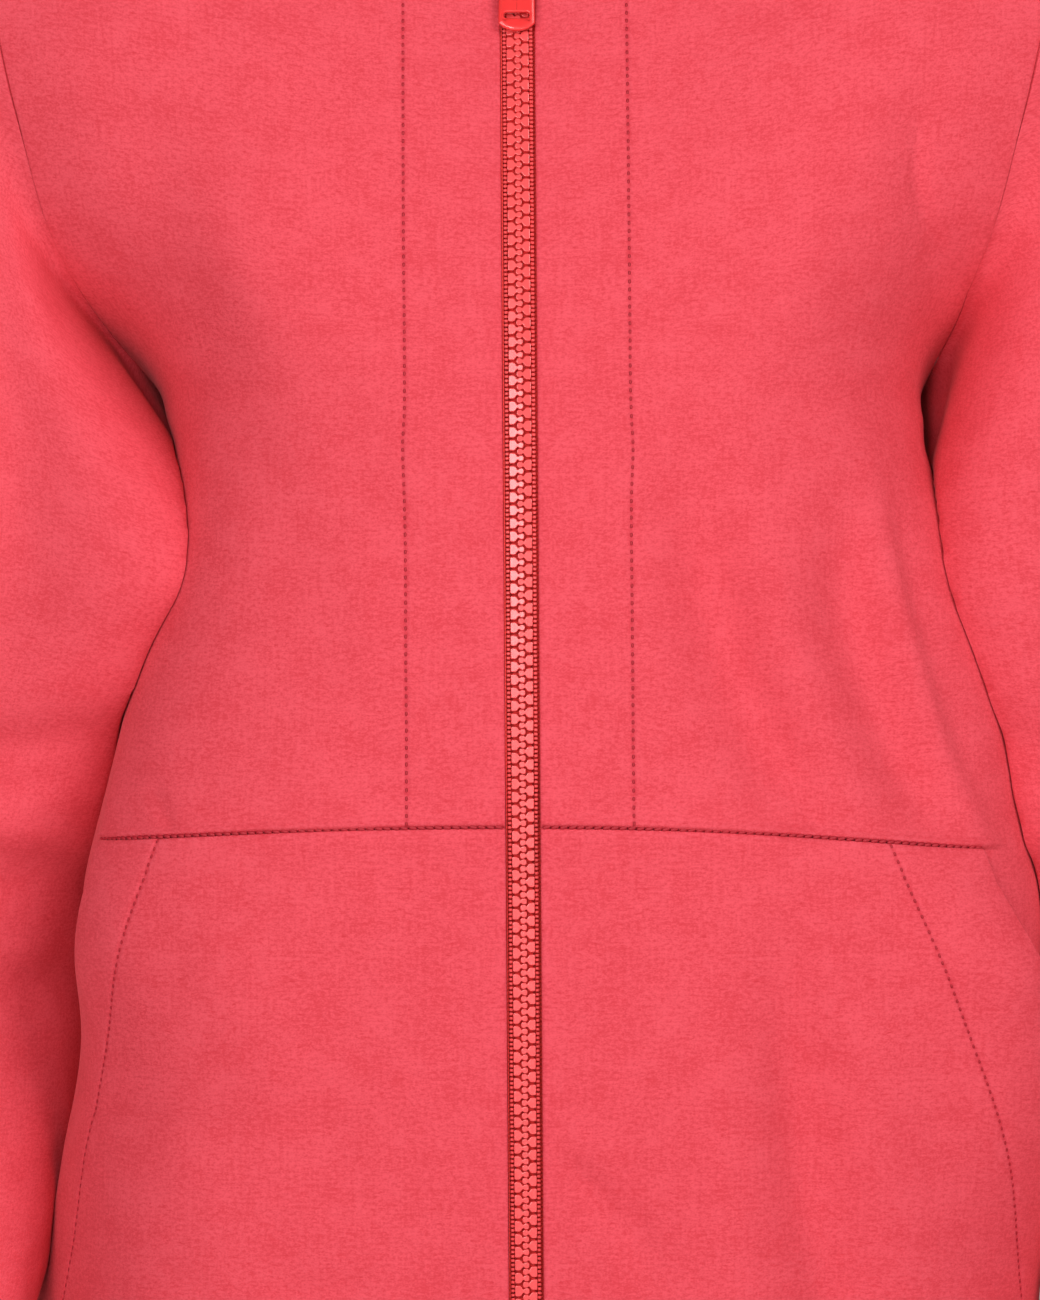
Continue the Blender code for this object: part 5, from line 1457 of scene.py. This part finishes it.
class StudioSettings(bpy.types.PropertyGroup):
    """The camera and the lights."""

    distance: size("Camera distance", "From the camera to the front of the garment", 2.6, 0.5, 10.0)
    frame_height: size("Frame height", "The height that the picture takes in", 0.4194, 0.1, 3.0)
    key_power: power("Key light", "The large soft light, above on the right", 41.5)
    fill_power: power("Fill light", "The soft light on the left", 28.0)
    front_power: power("Front light", "The small soft light beside the camera", 17.0)
    low_power: power("Low light", "The small soft light beside the camera, low on the right", 3.0)
    rear_power: power("Rear light", "The large soft light behind, for the other views", 55.0)
    sky: amount("Room light", "The even light from all round", 0.12)


# ---------------------------------------------------------------- operators


class PieceOperator:
    """What every operator here shares."""

    bl_options = {"REGISTER", "UNDO"}


def lay_cloth(scene, name, node, panels, thickness, weld_from=None):
    """Panels of jersey as one piece that stands for a node of the frame."""
    made, reverse = wall_of(name, panels, thickness, weld_from)
    return dress(made, jersey_pair(scene), node, reverse=reverse)


def stitch_line(name, scene, lines, seed):
    """The open stitches of a hem, a facing or a band."""
    sizes = scene.sweatshirt_sewing
    rise, sink = sizes.thickness * STITCH_RISE, sizes.thickness * STITCH_SINK
    return sew(
        name, lines, sizes.pitch, sizes.length, sizes.thickness, rise, sink, 0, thread_of(scene), seed
    )


class SWEATSHIRT_OT_fronts(PieceOperator, bpy.types.Operator):
    """Makes both fronts with the stitching of their facings"""

    bl_idname = "sweatshirt.fronts"
    bl_label = "Fronts"

    def execute(self, context):
        scene = context.scene
        for seed, side in enumerate(SIDES):
            cloth, thickness = front_cloth(side)
            made = lay_cloth(scene, "front_cloth_" + side, "front_" + side, [cloth], [thickness])
            facing = stitch_line("facing_stitches_" + side, scene, [cloth.trace(0)], 10 + seed)
            free = hem_past_pocket(cloth.trace(1))
            hems = stitch_line("front_hem_stitches_" + side, scene, [free], 20 + seed)
        return {"FINISHED"}


def hem_past_pocket(hem):
    """The part of the front's hem stitching that the pocket doesn't cover."""
    points, outs = hem
    along = ZIP_OPENING / 2 + run(points[None], 1)[0]
    free = along > along[-1] - POCKET_SEAM_ALLOWANCE - FRONT_HEM_COVERED
    return points[free], outs[free]


class SWEATSHIRT_OT_pockets(PieceOperator, bpy.types.Operator):
    """Makes both pocket panels with their seams' and mouths' stitching"""

    bl_idname = "sweatshirt.pockets"
    bl_label = "Pockets"

    def execute(self, context):
        scene = context.scene
        sizes = scene.sweatshirt_sewing
        for seed, side in enumerate(SIDES):
            cloth = pocket_cloth(side)
            made = lay_cloth(scene, "pocket_cloth_" + side, "pocket_" + side, [cloth], [CLOTH])
            mouth = stitch_line("mouth_stitches_" + side, scene, [cloth.trace(0)], 30 + seed)
            hem = stitch_line("pocket_hem_stitches_" + side, scene, [cloth.trace(1)], 40 + seed)
            seam = sew(
                "pocket_seam_stitches_" + side, [seam_line(side)], sizes.pitch, sizes.seam_length,
                sizes.seam_thickness, sizes.seam_thickness * SEAM_STITCH_RISE, 0.0,
                SEAM_SLANT * SIDES[side], thread_of(scene), 50 + seed,
            )
        return {"FINISHED"}


def seam_line(side):
    """The line of stitching in the groove of the pocket's seam."""
    column = np.linspace(SEAM_THREAD_STARTS, MOUTH_COLUMN, 160)
    v, u = front_place(POCKET_TOP_V + SEAM_THREAD_AT + 0 * column, column, side, mouth_table(side))
    points, outs = body_points(v, u, side)
    return points + outs * SEAM_THREAD_RISE, outs


class SWEATSHIRT_OT_back(PieceOperator, bpy.types.Operator):
    """Makes the back with its hem's stitching"""

    bl_idname = "sweatshirt.back"
    bl_label = "Back"

    def execute(self, context):
        halves = [back_cloth(side) for side in SIDES]
        panels = [cloth for cloth, _ in halves]
        made = lay_cloth(context.scene, "back_cloth", "back", panels, [CLOTH] * 2, halves[0][1])
        hem = stitch_line("back_hem_stitches", context.scene, [panel.trace(0) for panel in panels], 60)
        return {"FINISHED"}


class SWEATSHIRT_OT_sleeves(PieceOperator, bpy.types.Operator):
    """Makes both sleeves with their cuffs' stitching"""

    bl_idname = "sweatshirt.sleeves"
    bl_label = "Sleeves"

    def execute(self, context):
        scene = context.scene
        for seed, side in enumerate(SIDES):
            cloth = sleeve_cloth(side)
            turn, down = (np.linspace(0, 1, n) for n in cloth.across.shape[::-1])
            inner = smooth(np.cos(2 * math.pi * turn), *REST_ROUND)[None, :]
            share = inner * smooth(down, *REST_DOWN)[:, None]
            rest_against(cloth, [front_cloth(side)[0], pocket_cloth(side), back_cloth(side)[0]], share)
            made = lay_cloth(scene, "sleeve_cloth_" + side, "sleeve_" + side, [cloth], [CLOTH])
            cuff = stitch_line("cuff_stitches_" + side, scene, [cloth.trace(0)], 70 + seed)
        return {"FINISHED"}


class SWEATSHIRT_OT_neckband(PieceOperator, bpy.types.Operator):
    """Makes the neckband with its two rows of stitching"""

    bl_idname = "sweatshirt.neckband"
    bl_label = "Neckband"

    def execute(self, context):
        panels = [neckband_cloth(side) for side in SIDES]
        made = lay_cloth(context.scene, "neckband_cloth", "neckband", panels, [BAND_CLOTH] * 2, 0)
        lines = [panel.trace(n) for panel in panels for n in (0, 1)]
        stitches = stitch_line("neckband_stitches", context.scene, lines, 80)
        return {"FINISHED"}


class SWEATSHIRT_OT_zip_tapes(PieceOperator, bpy.types.Operator):
    """Makes the zip's two woven tapes"""

    bl_idname = "sweatshirt.zip_tapes"
    bl_label = "Zip tapes"

    def execute(self, context):
        tape = finish_named("tape_weave", woven_tape, context.scene.sweatshirt_colours.tape)
        line = Zip()
        along = np.append(np.arange(0, line.along[-1], TAPE_STEP), line.along[-1])
        points, outs, _ = line.at(along)
        past_box, below_neck = (np.array(reach) for reach in (TAPE_PAST_BOX, TAPE_BELOW_NECK))
        free = smooth(along, *(BOX_HEIGHT + past_box)) * (1 - smooth(along, *(line.neck - below_neck)))
        outer = TAPE_WIDTH - (TAPE_WIDTH - TAPE_TOP_WIDTH) * smooth(points[:, 2], *TAPE_NARROWS)
        near = np.concatenate([[TAPE_INNER], np.linspace(*TAPE_SWELLS, 4), np.linspace(*TAPE_SINKS, 5)])
        share = np.linspace(0, 1, 4)[None, 1:]
        for side, sign in SIDES.items():
            x = near + 0 * outer[:, None]
            x = np.concatenate([x, x[:, -1:] + (outer[:, None] - x[:, -1:]) * share], axis=1)
            swollen = smooth(x, *TAPE_SWELLS) * (1 - smooth(x, *TAPE_SINKS))
            cloth = ribbon(points, outs, x, sign, TAPE_FACE + TAPE_RISE[side] * free[:, None] * swollen)
            made, _ = wall_of("zip_tape_" + side, [cloth], [TAPE_CLOTH])
            dress(made, [tape], "tape_" + side)
        return {"FINISHED"}


def ribbon(points, outs, x, sign, face):
    """Cloth along the zip: its points are x to one side of the zip's line and face out of it."""
    place = points[:, None] + outs[:, None] * face[..., None]
    place = place + np.stack([sign * x, 0 * x, 0 * x], -1)
    return Cloth(place, np.broadcast_to(outs[:, None], place.shape), x + 0 * place[..., 0], run(place, 0))


class SWEATSHIRT_OT_zip_teeth(PieceOperator, bpy.types.Operator):
    """Makes the two rows of moulded teeth, closed into each other, and the cord that they grip"""

    bl_idname = "sweatshirt.zip_teeth"
    bl_label = "Zip teeth"

    def execute(self, context):
        scene, sizes, line = context.scene, context.scene.sweatshirt_zip, Zip()
        low = BOX_HEIGHT + SEAM_GAP
        high = line.neck + SLIDER_FOOT + SLIDER_LENGTH - POST_LENGTH - ROW_BELOW_POST
        tooth = tooth_shape(sizes)
        for side, shape, ahead in (("right", tooth, 0), ("left", mirrored(tooth), sizes.tooth_pitch / 2)):
            start = low + sizes.tooth_body / 2 + ahead
            made = stand("zip_teeth_" + side, shape, line.at(np.arange(start, high, sizes.tooth_pitch)))
            dress(made, [plastic_of(scene)])
        points, outs, _ = line.at(np.arange(low, high, CORD_STEP))
        half = CORD_HALF[::-1]
        profile = [(-x, face) for x, face in half] + [(0.0, half[-1][1])] + list(CORD_HALF)
        x, face = (np.array([column]) for column in zip(*profile))
        cord, _ = wall_of("zip_cord", [ribbon(points, outs, x, 1, face)], [CORD_CLOTH])
        # The cord's weave is the tape's, darkened to 0.8 as painted shade.
        weave = finish_named("cord_weave", woven_tape, scene.sweatshirt_colours.tape, 0.8)
        dress(cord, [weave], "zip_chain")
        return {"FINISHED"}


class SWEATSHIRT_OT_zip_ends(PieceOperator, bpy.types.Operator):
    """Makes the box at the zip's foot and the stops at its head"""

    bl_idname = "sweatshirt.zip_ends"
    bl_label = "Zip ends"

    def execute(self, context):
        scene, line = context.scene, Zip()
        half, up = BOX_WIDTH / 2, BOX_HEIGHT / 2
        outline = rounded_box(-half, half, -up, up, BOX_CORNER)
        body = plate_shape(outline, TAPE_FACE + SEAM_GAP, BOX_PROUD - BOX_RIB_PROUD, BOX_BEVEL)
        across, ends = half * BOX_RIB["half"], (BOX_HEIGHT * BOX_RIB["foot"], BOX_HEIGHT * BOX_RIB["head"])
        outline = rounded_box(-across, across, *ends, BOX_RIB["corner"])
        rib = plate_shape(outline, 0.0, BOX_PROUD, BOX_RIB["bevel"])
        made = stand("zip_box_detail", join([body, rib]), line.at(np.array([BOX_HEIGHT / 2])))
        dress(made, [plastic_of(scene)], "zip_box")
        level = line.along[-1] - STOP_HEIGHT / 2
        for side, sign in SIDES.items():
            edges = sorted((sign * TAPE_INNER, sign * (TAPE_INNER + STOP_WIDTH)))
            outline = rounded_box(*edges, -STOP_HEIGHT / 2, STOP_HEIGHT / 2, STOP_CORNER)
            stop = plate_shape(outline, CHAIN_PROUD - CHAIN_DEPTH, CHAIN_PROUD, STOP_BEVEL)
            made = stand("zip_stop_" + side, stop, line.at(np.array([level])))
            dress(made, [plastic_of(scene)], "stop_" + side)
        return {"FINISHED"}


def on_band(name, shapes, scene, node, body):
    """Stands shapes on the neckband at the zip, rising from the neck seam."""
    foot, rise, out = neck_frame()
    made = stand(name, join(shapes), (foot, out, rise))
    lacquer = finish_named("zip_lacquer", lacquered_metal, scene.sweatshirt_colours.lacquer)
    return dress(made, [lacquer], node, body)


class SWEATSHIRT_OT_slider(PieceOperator, bpy.types.Operator):
    """Makes the slider: two plates, their post, two lugs and a pin"""

    bl_idname = "sweatshirt.slider"
    bl_label = "Slider"

    def execute(self, context):
        foot, head, half = SLIDER_FOOT, SLIDER_FOOT + SLIDER_LENGTH, SLIDER_WIDTH / 2
        outline = [(a * half, foot + b * SLIDER_LENGTH) for a, b in SLIDER_OUTLINE]
        outline += [(-x, y) for x, y in reversed(outline)]
        front = plate_shape(outline, PLATE_LOW, PLATE_HIGH, SLIDER_BEVEL, SLIDER_DROP, 4)
        back_high = TAPE_FACE - TAPE_CLOTH - SEAM_GAP
        narrower = [(x * SLIDER_BACK_SHARE, y) for x, y in outline]
        back = plate_shape(narrower, back_high - SLIDER_BACK, back_high, SLIDER_BACK_BEVEL, steps=1)
        outline = rounded_box(
            -POST_WIDTH / 2, POST_WIDTH / 2, head - POST_LENGTH, head - POST_BELOW_HEAD, POST_CORNER
        )
        post = plate_shape(outline, back_high - SLIDER_BITE, PLATE_LOW + SLIDER_BITE, SHARP_BEVEL, steps=1)
        inner = TAB_NECK / 2 + LUG_GAP
        low, high = PIN_RISE - LUG_REACH, PIN_RISE + LUG_REACH
        outline = rounded_box(inner, inner + LUG_WIDTH, low, high, LUG_CORNER)
        lug = plate_shape(outline, PLATE_HIGH - LUG_BITE, PIN_OUT + LUG_PROUD, LUG_BEVEL)
        pin = moved(bar_shape(PIN_RADIUS, inner + LUG_WIDTH / 2), 0, PIN_RISE, PIN_OUT)
        shapes = [front, back, post, lug, mirrored(lug), pin]
        on_band("slider_detail", shapes, context.scene, "slider", "garment")
        return {"FINISHED"}


def tab_outline(count, centre):
    """The pull tab's outline at even angles about a point, so that a slot can be joined to it."""
    neck, wide = TAB_NECK / 2, TAB_WIDTH / 2
    foot = PIN_RISE - TAB_DROP
    bow = [(wide * x, foot + TAB_BOW * abs(x) ** TAB_BOW_POWER) for x in np.linspace(-1, 1, 41)]
    right = [
        (wide, foot + TAB_BOW + TAB_FLARE), (wide * TAB_SHOULDER_SHARE, PIN_RISE - TAB_SHOULDER),
        (neck, PIN_RISE - TAB_NECK_DROP), (neck, PIN_RISE - TAB_TOP),
    ]
    corners = bow + right + [(-x, y) for x, y in reversed(right)]
    path = []
    for a, b in zip(corners, corners[1:] + corners[:1]):
        path += [np.array(a) + (np.array(b) - np.array(a)) * t for t in np.linspace(0, 1, 40)[:-1]]
    path = np.array(path)
    for _ in range(TAB_SMOOTHINGS):
        path = (np.roll(path, 1, axis=0) + path * 2 + np.roll(path, -1, axis=0)) / 4
    angles = np.arctan2(path[:, 1] - centre[1], path[:, 0] - centre[0])
    order = np.argsort(angles)
    even = np.linspace(-math.pi, math.pi, count, endpoint=False)
    return np.stack([np.interp(even, angles[order], path[order, k], period=2 * math.pi) for k in (0, 1)], -1)


def slot_outline(count, half_width, half_height, centre):
    """The slot's outline at the same angles: a stadium shape."""
    straight = half_width - half_height
    found = []
    for angle in np.linspace(-math.pi, math.pi, count, endpoint=False):
        c, s = math.cos(angle), math.sin(angle)
        reach = half_height / max(abs(s), 1e-9)
        if reach * abs(c) > straight:
            reach = straight * abs(c) + math.sqrt(max(0, half_height**2 - (straight * s) ** 2))
        found.append((centre[0] + c * reach, centre[1] + s * reach))
    return np.array(found)


class SWEATSHIRT_OT_pull_tab(PieceOperator, bpy.types.Operator):
    """Makes the pull tab: a crowned lacquered plate with a slot at its foot and an eye round the pin"""

    bl_idname = "sweatshirt.pull_tab"
    bl_label = "Pull tab"

    def execute(self, context):
        centre = (0.0, PIN_RISE - TAB_DROP + SLOT_RISE)
        outer = tab_outline(TAB_POINTS, centre)
        slot = slot_outline(TAB_POINTS, SLOT_WIDTH / 2, SLOT_HEIGHT / 2, centre)
        rings, turns = [], edge_turns(TAB_EDGE_STEPS)
        for sign in (-1, 1):
            face = PIN_OUT + sign * TAB_THICK / 2
            edge, lip = (
                [level_ring(inset(line, width * i), face - sign * depth * d) for i, d in turns]
                for line, width, depth in ((outer, *TAB_BEVEL), (slot, -SLOT_BEVEL[0], SLOT_BEVEL[1]))
            )
            rings += lip + edge[::-1] if sign < 0 else edge + lip[::-1]
        plate = ring_stack(rings, True)
        eye = moved(tube_shape(TAB_EYE, PIN_RADIUS + PIN_PLAY / 2, TAB_NECK / 2), 0, PIN_RISE, PIN_OUT)
        on_band("pull_tab_detail", [plate, eye], context.scene, "pull_tab", "pull_tab")
        return {"FINISHED"}


class SWEATSHIRT_OT_studio(PieceOperator, bpy.types.Operator):
    """Makes the pale floor, the soft lights and the camera"""

    bl_idname = "sweatshirt.studio"
    bl_label = "Studio"

    def execute(self, context):
        scene, settings = context.scene, context.scene.sweatshirt_studio
        ways = ((-1, -1), (1, -1), (1, 1), (-1, 1))
        corners = [(x * FLOOR_HALF, y * FLOOR_HALF, CAD_BOX[0][2]) for x, y in ways]
        floor = mesh_object("floor", corners, [(0, 1, 2, 3)])
        floor.data.materials.append(matt_paper("matt_paper", FLOOR_COLOUR))
        for name, place, sides in LIGHTS:
            soft_light(name + " light", place, PICTURE_MIDDLE, sides, getattr(settings, name + "_power"))
        world = bpy.data.worlds.new("room light")
        world.use_nodes = True
        room = world.node_tree.nodes["Background"].inputs
        room["Color"].default_value, room["Strength"].default_value = ROOM_COLOUR, settings.sky
        scene.world = world
        data = bpy.data.cameras.new("camera")
        data.sensor_width = SENSOR_WIDTH
        data.lens = data.sensor_width * settings.distance / settings.frame_height
        camera = bpy.data.objects.new("camera", data)
        camera.location = Vector(PICTURE_MIDDLE) - Vector((0, settings.distance, 0))
        camera.rotation_euler = (math.pi / 2, 0, 0)
        scene.collection.objects.link(camera)
        scene.camera = camera
        scene.view_settings.view_transform = "Standard"
        return {"FINISHED"}


def soft_light(name, place, target, sides, watts):
    """A rectangular soft light that faces a point, and isn't seen by the camera."""
    data = bpy.data.lights.new(name, "AREA")
    data.shape = "RECTANGLE"
    data.size, data.size_y = sides
    data.energy = watts
    light = bpy.data.objects.new(name, data)
    light.location = place
    way = [t - p for t, p in zip(target, place)]
    flat = math.hypot(way[0], way[1])
    light.rotation_euler = (math.pi / 2 + math.atan2(way[2], flat), 0, math.atan2(-way[0], way[1]))
    light.visible_camera = False
    bpy.context.scene.collection.objects.link(light)


# ---------------------------------------------------------------- panel and registration

OPERATORS = (
    SWEATSHIRT_OT_fronts,
    SWEATSHIRT_OT_pockets,
    SWEATSHIRT_OT_back,
    SWEATSHIRT_OT_sleeves,
    SWEATSHIRT_OT_neckband,
    SWEATSHIRT_OT_zip_tapes,
    SWEATSHIRT_OT_zip_teeth,
    SWEATSHIRT_OT_zip_ends,
    SWEATSHIRT_OT_slider,
    SWEATSHIRT_OT_pull_tab,
    SWEATSHIRT_OT_studio,
)
GROUPS = {
    "sweatshirt_sewing": SewingSizes,
    "sweatshirt_zip": ZipSizes,
    "sweatshirt_colours": SweatshirtColours,
    "sweatshirt_studio": StudioSettings,
}


class SWEATSHIRT_PT_sidebar(bpy.types.Panel):
    """Lists the garment's settings and pieces"""

    bl_idname = "SWEATSHIRT_PT_sidebar"
    bl_label = "Sweatshirt"
    bl_space_type = "VIEW_3D"
    bl_region_type = "UI"
    bl_category = "Sweatshirt"

    def draw(self, context):
        for name, group in GROUPS.items():
            box = self.layout.box()
            for key in group.__annotations__:
                box.prop(getattr(context.scene, name), key)
        for operator in OPERATORS:
            self.layout.operator(operator.bl_idname)


def register():
    for name, group in GROUPS.items():
        bpy.utils.register_class(group)
        setattr(bpy.types.Scene, name, bpy.props.PointerProperty(type=group))
    for operator in OPERATORS:
        bpy.utils.register_class(operator)
    bpy.utils.register_class(SWEATSHIRT_PT_sidebar)


def unregister():
    bpy.utils.unregister_class(SWEATSHIRT_PT_sidebar)
    for operator in reversed(OPERATORS):
        bpy.utils.unregister_class(operator)
    for name, group in GROUPS.items():
        delattr(bpy.types.Scene, name)
        bpy.utils.unregister_class(group)


def main():
    register()
    for operator in OPERATORS:
        group, name = operator.bl_idname.split(".")
        getattr(getattr(bpy.ops, group), name)()


if __name__ == "__main__":
    main()
